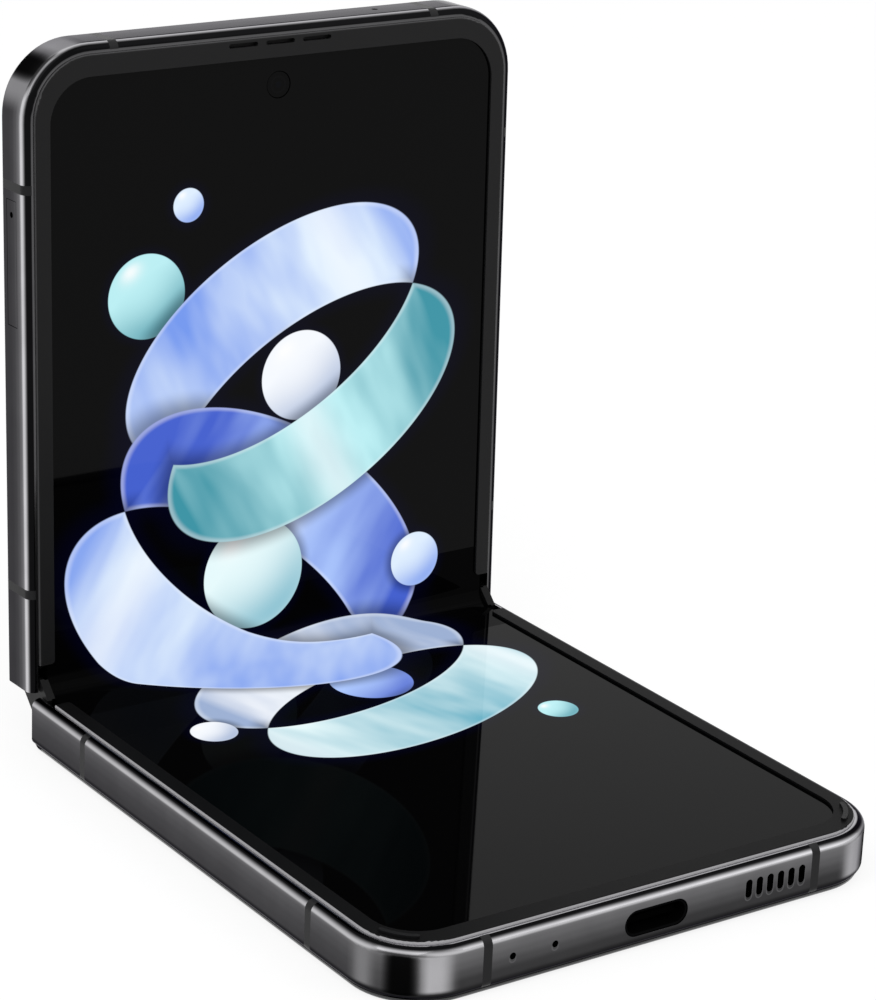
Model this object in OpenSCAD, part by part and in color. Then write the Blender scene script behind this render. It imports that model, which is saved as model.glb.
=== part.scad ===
// Clamshell phone: two rigid halves on a geared twin-axis hinge, with one screen across the fold.
// Each half is drawn flat: x across, y = 0 at the fold and -half_len at its free end,
// z = 0 at its back and z = body_t at its display plane. The upper half is the mirror in y.
// The finished phone stands on the lower half's back, opened to open_angle.

/* [Body] */
// Width across both halves
body_w = 71.9; // [70:0.1:74]
// Length of one half from the fold to its free end
half_len = 82.6; // [81:0.1:86]
// Thickness of one half from back glass to display plane
body_t = 6.9; // [6.8:0.05:7.3]
// Corner radius in plan at the free ends
corner_r = 9.1; // [8.5:0.1:10]
// Angle between the two displays
open_angle = 91.5; // [85:0.5:110]

/* [Frame] */
// Thickness of the side wall
frame_wall = 2.3; // [2.1:0.05:2.5]
// Side wall left beside the hinge
fold_wall = 1.2; // [1.1:0.05:1.4]
// Radius of the polished shoulder at the display side
shoulder_r = 1.1; // [0.9:0.05:1.2]
// Radius of the frame's lower edge above the glass
lower_edge_r = 0.8; // [0.6:0.05:1]
// Thickness of the plate under the display
plate_t = 0.8; // [0.6:0.05:0.9]
// Depth of the rebate that seats the raised border
seat_depth = 0.3; // [0.25:0.05:0.4]
// Thickness of the bar behind the hinge
hinge_bar = 1.9; // [1.6:0.1:2.4]
// Radius of the back edge at the fold
fold_edge_r = 1.6; // [1.2:0.1:1.7]
// Gap left between each half and the fold plane
end_gap = 0.25; // [0.15:0.01:0.3]
// Width of a plastic antenna band
band_w = 1.2; // [0.9:0.1:1.5]
// Depth of a band in the wall
band_depth = 1.0; // [0.7:0.1:1.3]
// Distance of the first side band from the fold
band_near = 13.4; // [11:0.1:15]
// Distance of the second side band from the free end
band_far = 17.3; // [16.5:0.1:18]
// Distance of the end bands from the middle
band_end = 23.5; // [23.2:0.1:25.5]

/* [Glass] */
// Thickness of the back glass
glass_t = 0.65; // [0.5:0.05:0.7]
// Inset of the glass edge from the side of the frame
glass_inset = 0.45; // [0.35:0.05:0.6]
// Distance of the glass from the fold
glass_stop = 1.9; // [1.85:0.05:2.2]
// Length of the cover window from the free end
window_len = 29.4; // [28.8:0.1:30]
// Joint between frame, glass and window
glass_gap = 0.08; // [0.05:0.01:0.12]

/* [Raised border] */
// Outer edge of the border from the side
border_in = 1.32; // [1.25:0.01:1.4]
// Width of the border along the sides
border_side = 2.1; // [1.9:0.1:2.5]
// Width of the border along the free end
border_end = 2.7; // [2.5:0.1:3]
// Height of the border above the display
border_rise = 0.35; // [0.25:0.05:0.4]
// Radius of the border's outer top edge
border_edge = 0.25; // [0.15:0.01:0.3]
// Distance from the fold where the border stops
border_stop = 3.9; // [3.7:0.1:4.3]
// Rounding of the border's ends
border_round = 0.5; // [0.4:0.05:0.95]
// Height of a corner bumper above the border
bumper_rise = 0.3; // [0.2:0.05:0.4]

/* [Screen] */
// Thickness of the rigid screen panel
panel_t = 0.7; // [0.6:0.05:0.75]
// Thickness of the screen where it folds
fold_panel_t = 0.45; // [0.35:0.05:0.5]
// Edge of the panel from the side
panel_in = 2.45; // [2.4:0.05:2.6]
// Half length of the stretch that folds
fold_zone = 8.0; // [7.9:0.05:8.4]
// Height of the support plates beside the fold
wing_t = 0.3; // [0.2:0.05:0.32]
// Distance of the support plates from the fold
wing_stop = 2.5; // [2.4:0.05:2.8]

/* [Hinge] */
// Distance between the two fold axes
axis_pitch = 4.7; // [4.6:0.05:4.8]
// Depth of the fold axes below the display plane
axis_drop = 0.7; // [0.65:0.01:0.75]
// Radius of the spine about each fold axis
spine_r = 4.65; // [4.55:0.05:4.7]
// Running gap between spine and frame
spine_gap = 0.1; // [0.08:0.01:0.15]
// Wall of the spine cover
spine_wall = 0.65; // [0.6:0.01:0.7]
// Height of the spine's side edges below the fold axes
spine_edge = 1.5; // [1.45:0.05:1.7]
// Gap between the spine's ends and the side walls
spine_end_gap = 0.15; // [0.1:0.01:0.2]
// Thickness of the spine's end caps
cap_t = 0.6; // [0.5:0.05:0.7]
// Distance of the hinge modules from the middle
module_x = 20; // [17:0.5:22]
// Module of the gear teeth
gear_m = 0.17; // [0.168:0.001:0.172]
// Width of an arm's toothed tongue
tongue_w = 5.0; // [4.6:0.1:5.6]
// Width of the teeth on a tongue
teeth_w = 2.0; // [1.8:0.1:2.4]
// Inner radius of a tongue about its fold axis
tongue_ri = 1.5; // [1.48:0.01:1.55]
// Outer radius of a tongue's smooth rails
tongue_ro = 2.28; // [2.25:0.01:2.3]
// Radius of a pinion's shaft
shaft_r = 0.35; // [0.3:0.01:0.38]
// Radial clearance of a running fit
run_fit = 0.03; // [0.02:0.01:0.05]
// Radius of the hinge screws
screw_r = 0.5; // [0.4:0.05:0.6]
// Half width of an arm's foot
foot_hx = 6; // [5.6:0.1:6.4]
// Length of an arm's foot
foot_len = 3; // [2.6:0.1:3.4]
// Lean of each closed half from the closing plane
closed_lean = 0.75; // [0.7:0.01:0.9]

/* [Ports] */
// Width of the charging port
usb_w = 8.94; // [8.8:0.02:9]
// Height of the charging port
usb_h = 3.2; // [3.1:0.02:3.26]
// Depth of the charging port
usb_depth = 7.3; // [6.8:0.1:7.6]
// Wall of the charging port's shell
usb_wall = 0.3; // [0.25:0.01:0.32]
// Height of the port, speaker and microphones above the back
port_z = 3.55; // [3.5:0.05:3.8]
// Number of speaker slots
slot_n = 6; // [5:1:6]
// Spacing of the speaker slots
slot_pitch = 1.59; // [1.5:0.01:1.62]
// Width of a speaker slot
slot_w = 0.95; // [0.8:0.05:1.1]
// Height of a speaker slot
slot_h = 2.3; // [2:0.1:2.5]
// Distance of the last speaker slot from the side
slot_side = 14.5; // [14.2:0.1:14.7]
// Radius of a microphone hole
mic_r = 0.42; // [0.35:0.01:0.5]
// Distance of the lower outer microphone from the side
mic_outer_side = 15.85; // [15.6:0.05:16.6]
// Distance of the lower inner microphone from the side
mic_inner_side = 21.65; // [21.4:0.05:22.4]
// Gap between the upper microphone and the rear cameras
mic_upper_gap = 3.2; // [2.8:0.1:3.6]

/* [Keys and tray] */
// Length of the side key
side_key_len = 15; // [14:0.1:15.6]
// Distance of the side key's middle from the free end
side_key_end = 48.6; // [48:0.1:49.6]
// Length of the volume key
volume_len = 16; // [15:0.1:16.4]
// Distance of the volume key's middle from the free end
volume_end = 28.2; // [27.8:0.1:28.6]
// Height of keys and card tray above the back
key_z = 3.45; // [3.4:0.05:3.6]
// Height of a key across the side
key_h = 2.2; // [2:0.05:2.4]
// Proud height of the volume key
key_proud = 0.35; // [0.25:0.01:0.4]
// Clearance round a key
key_gap = 0.1; // [0.08:0.01:0.12]
// Travel of a key
key_travel = 0.25; // [0.2:0.01:0.28]
// Length of the card tray's face
tray_len = 15.8; // [15.4:0.1:16]
// Distance of the card tray's middle from the free end
tray_end = 27; // [26.6:0.1:27.2]
// Height of the card tray's face
tray_h = 2.3; // [2.2:0.05:2.5]
// Depth that the card tray reaches inward
tray_depth = 17; // [16:0.1:17.4]

/* [Inside] */
// Thickness of the battery cells
cell_t = 3.9; // [3.6:0.05:4]
// Gap between a battery cell and the side wall
cell_side = 4.65; // [4.4:0.05:5.2]
// Depth of the space for the lower board behind the free end
sub_depth = 13.3; // [13:0.1:14]
// Depth of the space for the main board behind the free end
main_depth = 32.4; // [32:0.1:33]
// Radius of the vibration motor
motor_r = 3.9; // [3.5:0.1:4]
// Width of the holding magnets
magnet_w = 2.8; // [2.4:0.1:2.9]
// Length of the holding magnets
magnet_len = 8.6; // [7.6:0.1:9]
// Half width of the earpiece
earpiece_hx = 7.8; // [7.4:0.1:8]
// Depth of the earpiece
earpiece_len = 2; // [1.8:0.1:2.1]
// Width of the ribbon that crosses the hinge
flex_w = 12; // [10:0.5:13]
// Thickness of the circuit boards
board_t = 0.8; // [0.7:0.05:0.9]
// Height of the boards above the back
board_z = 2.5; // [2.4:0.05:2.6]
// Radius of the wireless charging coil
coil_r = 19; // [17:0.5:21]
// Radius of a rear camera's metal ring
ring_r = 5.7; // [5.4:0.1:5.9]
// Height of a rear camera's ring above the back
ring_rise = 0.9; // [0.7:0.05:1.1]
// Distance of the rear cameras from the side
camera_side = 11.35; // [11.2:0.05:11.6]
// Distance of the outer rear camera from the free end
camera_edge = 8.6; // [8.5:0.1:8.9]
// Spacing of the two rear cameras
camera_pitch = 12.2; // [12:0.1:12.4]
// Radius of the front camera's barrel
selfie_r = 3.2; // [3:0.05:3.3]
// Distance of the front camera from the free end
selfie_edge = 7.6; // [7.4:0.1:7.9]

/* [Hidden] */
$fn = 96;
eps = 0.01;
hx = body_w / 2;
fold_turn = (180 - open_angle) / 2;
axis_y = axis_pitch / 2;
axis_z = body_t - axis_drop;
cavity_r = spine_r + spine_gap;
cavity_hx = hx - fold_wall;
spine_hx = cavity_hx - spine_end_gap;
frame_z = glass_t + glass_gap;
plate_top = body_t - panel_t - 0.05;
plate_bottom = plate_top - plate_t;
bay_hx = hx - frame_wall;
bay_end = half_len - frame_wall;
cavity_end = axis_y + cavity_r;
bar_end = cavity_end + hinge_bar;
wing_top = body_t - fold_panel_t - 0.05;
wing_bottom = wing_top - wing_t;
inner_glass = glass_t + 0.03;
cell_z = inner_glass + 0.32;
boss_end = bar_end + foot_len + 0.4;
cell_start = boss_end + 3.1;
cell_hx = bay_hx - cell_side;
lower_cell_end = bay_end - sub_depth - 2.5;
upper_cell_end = min(bay_end - main_depth, half_len - tray_end - tray_len / 2 + 0.2) - 1.7;
side_key_y = half_len - side_key_end;
volume_y = half_len - volume_end;
tray_y = half_len - tray_end;
camera_x = hx - camera_side;
flash_x = camera_x - 8.6;
module_r = ring_r - 0.8;
motor_x = mic_outer_side - hx - motor_r - 1.35;
motor_y = -bay_end + 4.7;
reader_x = -bay_hx + tray_depth + 0.2;
slot_x = hx - slot_side - (slot_n - 1) * slot_pitch;
speaker_x0 = slot_x - 1.8;
mic_upper_x = camera_x - module_r - mic_upper_gap;

// Gear train: a 24-tooth sector on each arm, four 10-tooth pinions between them
sector_n = 24;
pinion_n = 10;
sector_r = gear_m * sector_n / 2;
pinion_r = gear_m * pinion_n / 2;
addendum = 0.8 * gear_m;
dedendum = 1.15 * gear_m;
pinion_z = axis_z - sqrt(pow(sector_r + pinion_r, 2) - pow(axis_y - 3 * pinion_r, 2));
mesh_dir = 180 + atan2(axis_z - pinion_z, 3 * pinion_r - axis_y);
fold_travel = 90 - closed_lean;
ratio = sector_n / pinion_n;
pinion_w = teeth_w - 0.3;
end_wall = 1.0;
module_hx = tongue_w / 2 + 0.1 + end_wall;
base_top = axis_z - 2.0;

// Tooth phase that meshes with a gear of phase a1 in direction dir
function next_phase(dir, a1, n1, n2) =
    dir + 180 - (0.5 - (dir - a1) * n1 / 360) * 360 / n2;

sector_phase = mesh_dir;
phase_1 = next_phase(mesh_dir, sector_phase, sector_n, pinion_n);
phase_2 = next_phase(0, phase_1, pinion_n, pinion_n);
phase_3 = next_phase(0, phase_2, pinion_n, pinion_n);
phase_4 = next_phase(0, phase_3, pinion_n, pinion_n);
upper_phase = next_phase(360 - mesh_dir + 180, phase_4, pinion_n, sector_n);

// Screen bend: the folding stretch keeps its length on an arc tangent to both displays
fold_rad = fold_turn * PI / 180;
corner_y = -axis_y + axis_y * cos(fold_turn) + axis_drop * sin(fold_turn);
corner_over = -corner_y / cos(fold_turn);
corner_z = axis_z - axis_y * sin(fold_turn) + axis_drop * cos(fold_turn) + corner_y * tan(fold_turn);
bend_r = corner_over / (tan(fold_turn) - fold_rad);
bend_z = corner_z + bend_r / cos(fold_turn);
wing_len = fold_zone + corner_over - bend_r * tan(fold_turn);

graphite = [0.24, 0.24, 0.26];
dark = [0.08, 0.08, 0.085];
black = [0.02, 0.02, 0.022];
steel = [0.62, 0.62, 0.64];
gold = [0.72, 0.56, 0.3];
board_green = [0.05, 0.2, 0.12];
copper = [0.7, 0.4, 0.25];
cell_grey = [0.3, 0.31, 0.33];

// ---- Frames of reference ----

module turned(y0, angle) {
    translate([0, y0, axis_z]) rotate([angle, 0, 0]) translate([0, -y0, -axis_z]) children();
}

module in_lower() {
    translate([0, half_len / 2, 0]) children();
}

module in_spine() {
    in_lower() turned(-axis_y, fold_turn) children();
}

module in_upper() {
    in_spine() turned(axis_y, fold_turn) mirror([0, 1, 0]) children();
}

module both_sides() {
    children();
    mirror([1, 0, 0]) children();
}

// Children on both sides of the spine's middle plane, in 3D and in a (y, z) profile
module both_halves() {
    children();
    mirror([0, 1, 0]) children();
}

module both_flanks() {
    children();
    mirror([1, 0]) children();
}

// ---- Sweeps and outlines ----

// A profile in (inset, z) along the left side from y0 to y1
module left_run(y0, y1) {
    translate([-hx, y1, 0]) rotate([90, 0, 0]) linear_extrude(y1 - y0) children();
}

// A profile in (inset, z) along the free end from x0 to x1
module end_run(x0, x1) {
    translate([x0, -half_len, 0]) rotate([90, 0, 90]) linear_extrude(x1 - x0) children();
}

// A profile in (inset, z) round the left corner of the free end
module corner_run() {
    translate([-hx + corner_r, -half_len + corner_r, 0])
        rotate([0, 0, 180])
            rotate_extrude(angle = 90) translate([corner_r, 0]) mirror([1, 0]) children();
}

// The same profile along both sides and round the free end
module rim_run(y1) {
    both_sides() {
        left_run(-half_len + corner_r, y1) children();
        corner_run() children();
    }
    end_run(-hx + corner_r, hx - corner_r) children();
}

// Outline of a half, inset from its sides and its free end
module outline(side, end, y1, r) {
    w = hx - side;
    y0 = -half_len + end;
    translate([-w, y0 + r]) square([2 * w, y1 - y0 - r]);
    translate([-w + r, y0]) square([2 * (w - r), r + eps]);
    for (s = [-1, 1]) translate([s * (w - r), y0 + r]) circle(r);
}

module plate(inset, y1, z0, z1) {
    translate([0, 0, z0]) linear_extrude(z1 - z0) outline(inset, inset, y1, corner_r - inset);
}

module block(x, y, z) {
    translate([x[0], y[0], z[0]]) cube([x[1] - x[0], y[1] - y[0], z[1] - z[0]]);
}

// A slot with round ends, length l along x and width w along y
module stadium(l, w) {
    square([l - w, w], center = true);
    for (s = [-1, 1]) translate([s * (l - w) / 2, 0]) circle(w / 2);
}

// A cylinder along x from x0 to x1 at (y, z)
module rod_x(x0, x1, y, z, r) {
    translate([x0, y, z]) rotate([0, 90, 0]) cylinder(r = r, h = x1 - x0);
}

// A profile in (y, z) carried along x from x0 to x1
module along_x(x0, x1) {
    translate([x0, 0, 0]) rotate([90, 0, 90]) linear_extrude(x1 - x0) children();
}

// Pie slice in 2D from angle a0 to a1, at least r deep
module slice(r, a0, a1) {
    steps = ceil((a1 - a0) / 60);
    reach = r / cos(30) * 1.05;
    polygon(concat([[0, 0]],
        [for (i = [0:steps]) let (a = a0 + (a1 - a0) * i / steps) reach * [cos(a), sin(a)]]));
}

// Ring sector in 2D
module arc_band(ri, ro, a0, a1) {
    intersection() {
        difference() {
            circle(ro);
            circle(ri);
        }
        slice(ro, a0, a1);
    }
}

// ---- Housing shared by both halves ----

module wall_profile(depth) {
    difference() {
        translate([0, frame_z]) square([depth, body_t - frame_z]);
        translate([-eps, body_t - shoulder_r]) difference() {
            square([shoulder_r + eps, shoulder_r + eps]);
            translate([shoulder_r + eps, 0]) circle(shoulder_r);
        }
        translate([-eps, frame_z - eps]) difference() {
            square([lower_edge_r * 0.5 + eps, lower_edge_r + eps]);
            translate([lower_edge_r + eps, lower_edge_r + eps]) circle(lower_edge_r);
        }
    }
}

module frame_profile() {
    difference() {
        wall_profile(frame_wall);
        translate([border_in - 0.04, body_t - seat_depth - 0.02])
            square([frame_wall, seat_depth + 1]);
    }
}

module band_cutters(extra = 0) {
    w = band_w + extra;
    both_sides() for (y = [band_near, half_len - band_far])
        block([-hx - 1, -hx + band_depth], [-y - w / 2, -y + w / 2], [0, body_t + 1]);
    both_sides() block([-band_end - w / 2, -band_end + w / 2],
        [-half_len - 1, -half_len + band_depth], [0, body_t + 1]);
}

module bands() {
    both_sides() {
        for (y = [band_near, half_len - band_far])
            left_run(-y - band_w / 2, -y + band_w / 2) wall_profile(band_depth);
        end_run(-band_end - band_w / 2, -band_end + band_w / 2) wall_profile(band_depth);
    }
}

// Back slab of a half from the free end to y1, with the quarter-round edge of the glass
module back_slab(y1) {
    r = glass_t;
    linear_extrude(glass_t)
        outline(glass_inset + r, glass_inset + r, y1, corner_r - glass_inset - r);
    rim_run(y1) translate([glass_inset + r, r]) intersection() {
        circle(r);
        translate([-r, -r]) square([r + eps, r]);
    }
}

// Strip of the frame that closes the back between the glass and the fold
module fold_lip() {
    y0 = -glass_stop + glass_gap;
    intersection() {
        back_slab(-end_gap);
        block([-hx, hx], [y0, 0], [0.02, glass_t]);
    }
    block([-hx + 1.4, hx - 1.4], [y0, -end_gap], [glass_t / 2, frame_z + 0.3]);
}

module fold_edge_cutter() {
    r = fold_edge_r;
    along_x(-hx - 1, hx + 1) translate([-end_gap, 0]) difference() {
        translate([-r, -1]) square([r + 1, r + 1]);
        translate([-r, r]) circle(r);
    }
}

module hinge_boss(x) {
    block([x - foot_hx - 0.5, x + foot_hx + 0.5], [-boss_end, -bar_end + eps],
        [frame_z + 2, plate_bottom + eps]);
}

module frame_body() {
    difference() {
        union() {
            rim_run(-end_gap) frame_profile();
            plate(frame_wall - eps, -bar_end + eps, plate_bottom, plate_top);
            block([-bay_hx - eps, bay_hx + eps], [-bar_end, -end_gap], [frame_z, wing_bottom]);
            for (s = [-1, 1]) hinge_boss(s * module_x);
            fold_lip();
        }
        fold_edge_cutter();
        rod_x(-cavity_hx, cavity_hx, -axis_y, axis_z, cavity_r);
        block([-cavity_hx, cavity_hx], [-axis_y, 1], [axis_z - cavity_r, body_t + 1]);
        block([-cavity_hx, cavity_hx], [-cavity_end, 1], [axis_z, body_t + 1]);
        band_cutters();
        for (s = [-1, 1]) {
            block([s * module_x - foot_hx - 0.1, s * module_x + foot_hx + 0.1],
                [-bar_end - foot_len - 0.1, -axis_y], [arm_z0, body_t]);
            screw_places(s) cylinder(r = screw_r, h = body_t);
        }
        block([-flex_w / 2 - 1, flex_w / 2 + 1], [-bar_end - 1, -cavity_end + 1], [flex_z - 0.4, flex_z + 0.4]);
    }
}

module back_glass(y0, y1) {
    intersection() {
        back_slab(-glass_stop);
        block([-hx, hx], [y0, y1], [-1, glass_t + 1]);
    }
}

module border_profile() {
    top = body_t + border_rise;
    difference() {
        translate([border_in, body_t - seat_depth])
            square([panel_in - 0.08 - border_in, seat_depth + border_rise]);
        translate([border_in - eps, top - border_edge]) difference() {
            square([border_edge + eps, border_edge + eps]);
            translate([border_edge + eps, 0]) circle(border_edge);
        }
    }
}

module border_ring() {
    lip = panel_in - 0.08;
    inner = border_in + border_side;
    rim_run(-border_stop) border_profile();
    translate([0, 0, body_t + 0.05]) linear_extrude(border_rise - 0.05) difference() {
        outline(lip - eps, lip - eps, -border_stop, corner_r - lip);
        outline(inner, border_in + border_end, 1, corner_r - inner);
        both_flanks() translate([-hx + inner, -border_stop]) difference() {
            translate([-border_round, -border_round]) square(border_round + 1);
            translate([-border_round, -border_round]) circle(border_round);
        }
    }
}

module corner_bumpers() {
    mid = corner_r - border_in - border_side / 2;
    both_sides() translate([-hx + corner_r, -half_len + corner_r, body_t + border_rise])
        linear_extrude(bumper_rise) {
            arc_band(mid - 0.3, mid + 0.3, 200, 236);
            for (a = [200, 236]) rotate(a) translate([mid, 0]) circle(0.3);
        }
}

module screen_panel() {
    translate([0, 0, body_t - panel_t]) linear_extrude(panel_t)
        outline(panel_in, panel_in, -fold_zone - 0.02, corner_r - panel_in);
}

module wing_plate() {
    block([-hx + panel_in + 0.3, hx - panel_in - 0.3], [-fold_zone + 0.05, -wing_stop],
        [wing_bottom, wing_top]);
}

magnet_x = bay_hx - 0.9;
magnet_y = bay_end - 5.3;

module magnets() {
    both_sides() block([-magnet_x, -magnet_x + magnet_w], [-magnet_y, -magnet_y + magnet_len],
        [1.5, plate_bottom]);
}

// ---- Hinge ----

arm_z0 = axis_z - 0.95;
arm_top = wing_bottom - 0.02;
flex_z = axis_z - 1.75;

// Half section of one tooth, tip at radius r + addendum
function tooth(r, n, a) = [
    [r - dedendum - 0.05, a - 108 / n], [r - dedendum, a - 108 / n], [r, a - 80 / n],
    [r + addendum, a - 42 / n], [r + addendum, a + 42 / n], [r, a + 80 / n],
    [r - dedendum, a + 108 / n], [r - dedendum - 0.05, a + 108 / n]
];

module tooth_shape(r, n, a) {
    polygon([for (q = tooth(r, n, a)) q[0] * [cos(q[1]), sin(q[1])]]);
}

module pinion_shape(phase) {
    circle(pinion_r - dedendum);
    for (i = [0:pinion_n - 1]) tooth_shape(pinion_r, pinion_n, phase + i * 360 / pinion_n);
}

// Sector teeth from just before the flat mesh to just past the closed one
module sector_shape(phase, dir) {
    pitch = 360 / sector_n;
    last = ceil(fold_travel / pitch);
    arc_band(tongue_ri + 0.02, sector_r - dedendum, dir - 60, dir + last * pitch + 7);
    for (i = [-1:last]) tooth_shape(sector_r, sector_n, phase + i * pitch);
}

// One arm in flat coordinates of the lower half; teeth as seen from +x
module arm(phase, dir) {
    rail_end = dir + 64;
    difference() {
        union() {
            along_x(-teeth_w / 2, teeth_w / 2) translate([-axis_y, axis_z])
                sector_shape(phase, dir);
            both_sides() along_x(-tongue_w / 2, -teeth_w / 2) translate([-axis_y, axis_z])
                arc_band(tongue_ri, tongue_ro, dir - 66, rail_end);
            block([-tongue_w / 2, tongue_w / 2], [-cavity_end - 0.1, -axis_y - tongue_ri - 0.12],
                [arm_z0 + 0.02, arm_top]);
            block([-foot_hx, foot_hx], [-bar_end - foot_len, -cavity_end], [arm_z0 + 0.02, arm_top - 0.05]);
        }
        screw_places(0) cylinder(r = screw_r + 0.05, h = body_t);
    }
}

module screw_places(s) {
    for (dx = [-1, 1])
        translate([s * module_x + dx * (foot_hx - 1.7), -bar_end - 0.2, frame_z + 1.5]) children();
}

module arms(phase) {
    for (s = [-1, 1]) translate([s * module_x, 0, 0]) arm(phase, mesh_dir);
}

module hinge_screws() {
    for (s = [-1, 1]) screw_places(s) {
        cylinder(r = screw_r - 0.02, h = arm_top - 0.6 - frame_z - 1.5);
    }
}

module spine_section(r) {
    translate([-axis_y, axis_z]) circle(r);
    translate([axis_y, axis_z]) circle(r);
    translate([-axis_y, axis_z - r]) square([2 * axis_y, 2 * r]);
}

module below(z) {
    translate([-20, z - 20]) square([40, 20]);
}

module trough() {
    along_x(-spine_hx + cap_t, spine_hx - cap_t) difference() {
        intersection() {
            spine_section(spine_r);
            below(axis_z - spine_edge);
        }
        spine_section(spine_r - spine_wall);
    }
}

// Cap that closes the trough and fills the corner between the raised borders
module end_cap() {
    corner_top = body_t - 0.35;
    post_in = panel_in + 0.05;
    along_x(spine_hx - cap_t, spine_hx) {
        intersection() {
            spine_section(spine_r);
            below(axis_z - spine_edge);
        }
        polygon([[-3.2, axis_z - spine_edge - eps], [3.2, axis_z - spine_edge - eps],
            [1.5, corner_top], [-1.5, corner_top]]);
    }
    block([hx - post_in + 0.05, spine_hx - cap_t + eps], [-1.35, 1.35],
        [base_top - 0.6, corner_top]);
}

module land_section() {
    arc_band(0.85, tongue_ri - 0.08, mesh_dir - 64, mesh_dir + 24);
}

module base_block() {
    inner = spine_r - spine_wall - 0.03;
    difference() {
        union() {
            along_x(-module_hx, module_hx) intersection() {
                spine_section(inner);
                below(base_top);
                translate([-5.6, 0]) square([11.2, 20]);
            }
            both_sides() along_x(-module_hx, -module_hx + end_wall) intersection() {
                spine_section(inner);
                both_flanks() translate([-axis_y, axis_z])
                    arc_band(0.85, inner - 0.1, mesh_dir - 60, mesh_dir + 24);
            }
        }
        both_sides() rod_x(-tongue_w / 2 - 0.1, 0.5, -axis_y, axis_z, tongue_ro + 0.08);
        both_sides() rod_x(-tongue_w / 2 - 0.1, 0.5, axis_y, axis_z, tongue_ro + 0.08);
        block([-teeth_w / 2 - 0.1, teeth_w / 2 + 0.1], [-3.75, 3.75], [0, axis_z]);
        for (i = [-3, -1, 1, 3])
            rod_x(-module_hx - 1, module_hx + 1, i * pinion_r, pinion_z, shaft_r + run_fit);
    }
    both_halves() along_x(-tongue_w / 2 - 0.1 - eps, tongue_w / 2 + 0.1 + eps)
        translate([-axis_y, axis_z]) land_section();
}

module pinions(i, phase, way) {
    spin = way * ratio * fold_turn;
    for (s = [-1, 1]) translate([s * module_x, i * pinion_r, pinion_z]) rotate([spin, 0, 0]) {
        along_x(-pinion_w / 2, pinion_w / 2) pinion_shape(phase);
        rod_x(-module_hx - 0.9, module_hx + 0.9, 0, 0, shaft_r);
    }
}

module clips() {
    x0 = module_hx + 0.1;
    for (s = [-1, 1], i = [-3, -1, 1, 3]) translate([s * module_x, 0, 0])
        along_x(x0, x0 + 0.7) difference() {
            intersection() {
                spine_section(spine_r - spine_wall - 0.02);
                union() {
                    translate([i * pinion_r, pinion_z]) circle(0.72);
                    translate([i * pinion_r - 0.35, 0]) square([0.7, pinion_z]);
                }
            }
            translate([i * pinion_r, pinion_z]) circle(shaft_r + run_fit);
            translate([i * pinion_r - 0.12, pinion_z]) square([0.24, 1]);
        }
}

module brush_strips() {
    r_in = spine_r - spine_wall - 0.7;
    both_halves()
        both_sides()
            for (span = [[flex_w / 2 + 0.6, module_x - module_hx - 1.2], [module_x + module_hx + 1.2, spine_hx - cap_t - 0.3]])
                along_x(span[0], span[1]) translate([-axis_y, axis_z])
                    arc_band(r_in, spine_r - spine_wall - 0.02, 203, 236);
}

// Ribbon that crosses the hinge below the screen, bent as it lies at this opening
module flex_ribbon() {
    t = 0.14;
    mouth_y = -(cavity_end + 0.9);
    ry = mouth_y + axis_y;
    rz = flex_z - axis_z;
    c = cos(fold_turn);
    s = sin(fold_turn);
    end_y = -axis_y + ry * c + rz * s;
    end_z = axis_z - ry * s + rz * c;
    low_z = axis_z - spine_r + spine_wall + 0.12;
    half = [[0.05, low_z], [-axis_y * 0.7, low_z], [-axis_y - 1.9, low_z + 0.9],
        [-axis_y - 3.05, low_z + 2.5], [end_y + c * 0.75, end_z - s * 0.75], [end_y, end_z]];
    far = [for (p = half) p + t * [0.35, 1]];
    both_halves() along_x(-flex_w / 2, flex_w / 2)
        polygon(concat(half, [for (i = [len(far) - 1:-1:0]) far[i]]));
}

function arc_points(r, a0, a1, n) =
    [for (i = [0:n]) let (a = a0 + (a1 - a0) * i / n) [r * cos(a), bend_z + r * sin(a)]];

// Far end of the folding stretch on the lower side, at radius r of the bend
function wing_end(r) =
    [-r * sin(fold_turn) - wing_len * cos(fold_turn), bend_z - r * cos(fold_turn) + wing_len * sin(fold_turn)];

module bent_screen() {
    w = hx - panel_in - 0.03;
    inner = bend_r;
    outer = bend_r + fold_panel_t;
    a0 = 270 - fold_turn;
    a1 = 270 + fold_turn;
    a = wing_end(inner);
    b = wing_end(outer);
    along_x(-w, w) polygon(concat([a], arc_points(inner, a0, a1, 18), [[-a[0], a[1]], [-b[0], b[1]]],
        arc_points(outer, a1, a0, 18), [b]));
}

// ---- Lower half ----

module speaker_slots(grow, y0, y1) {
    for (i = [0:slot_n - 1]) translate([slot_x + i * slot_pitch, y1, port_z + 0.35])
        rotate([90, 90, 0]) linear_extrude(y1 - y0) stadium(slot_h + grow, slot_w + grow);
}

mic_places = [mic_outer_side - hx, mic_inner_side - hx];

module lower_frame() {
    color(graphite) in_lower() difference() {
        frame_body();
        translate([0, -half_len + frame_wall + 1, port_z]) rotate([90, 0, 0])
            linear_extrude(frame_wall + 2) stadium(usb_w + 0.1, usb_h + 0.1);
        speaker_slots(0, -half_len - 1, -bay_end + 1);
        for (x = mic_places)
            translate([x, -bay_end + 1, port_z + 0.35]) rotate([90, 0, 0])
                cylinder(r = mic_r, h = frame_wall + 2);
    }
}

module lower_antenna_bands() {
    color(dark) in_lower() bands();
}

module lower_back_glass() {
    color(dark) in_lower() back_glass(-half_len, -glass_stop);
}

module lower_border() {
    color(dark) in_lower() border_ring();
}

module lower_bumpers() {
    color(dark) in_lower() corner_bumpers();
}

module lower_screen() {
    color(black) in_lower() screen_panel();
}

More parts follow.
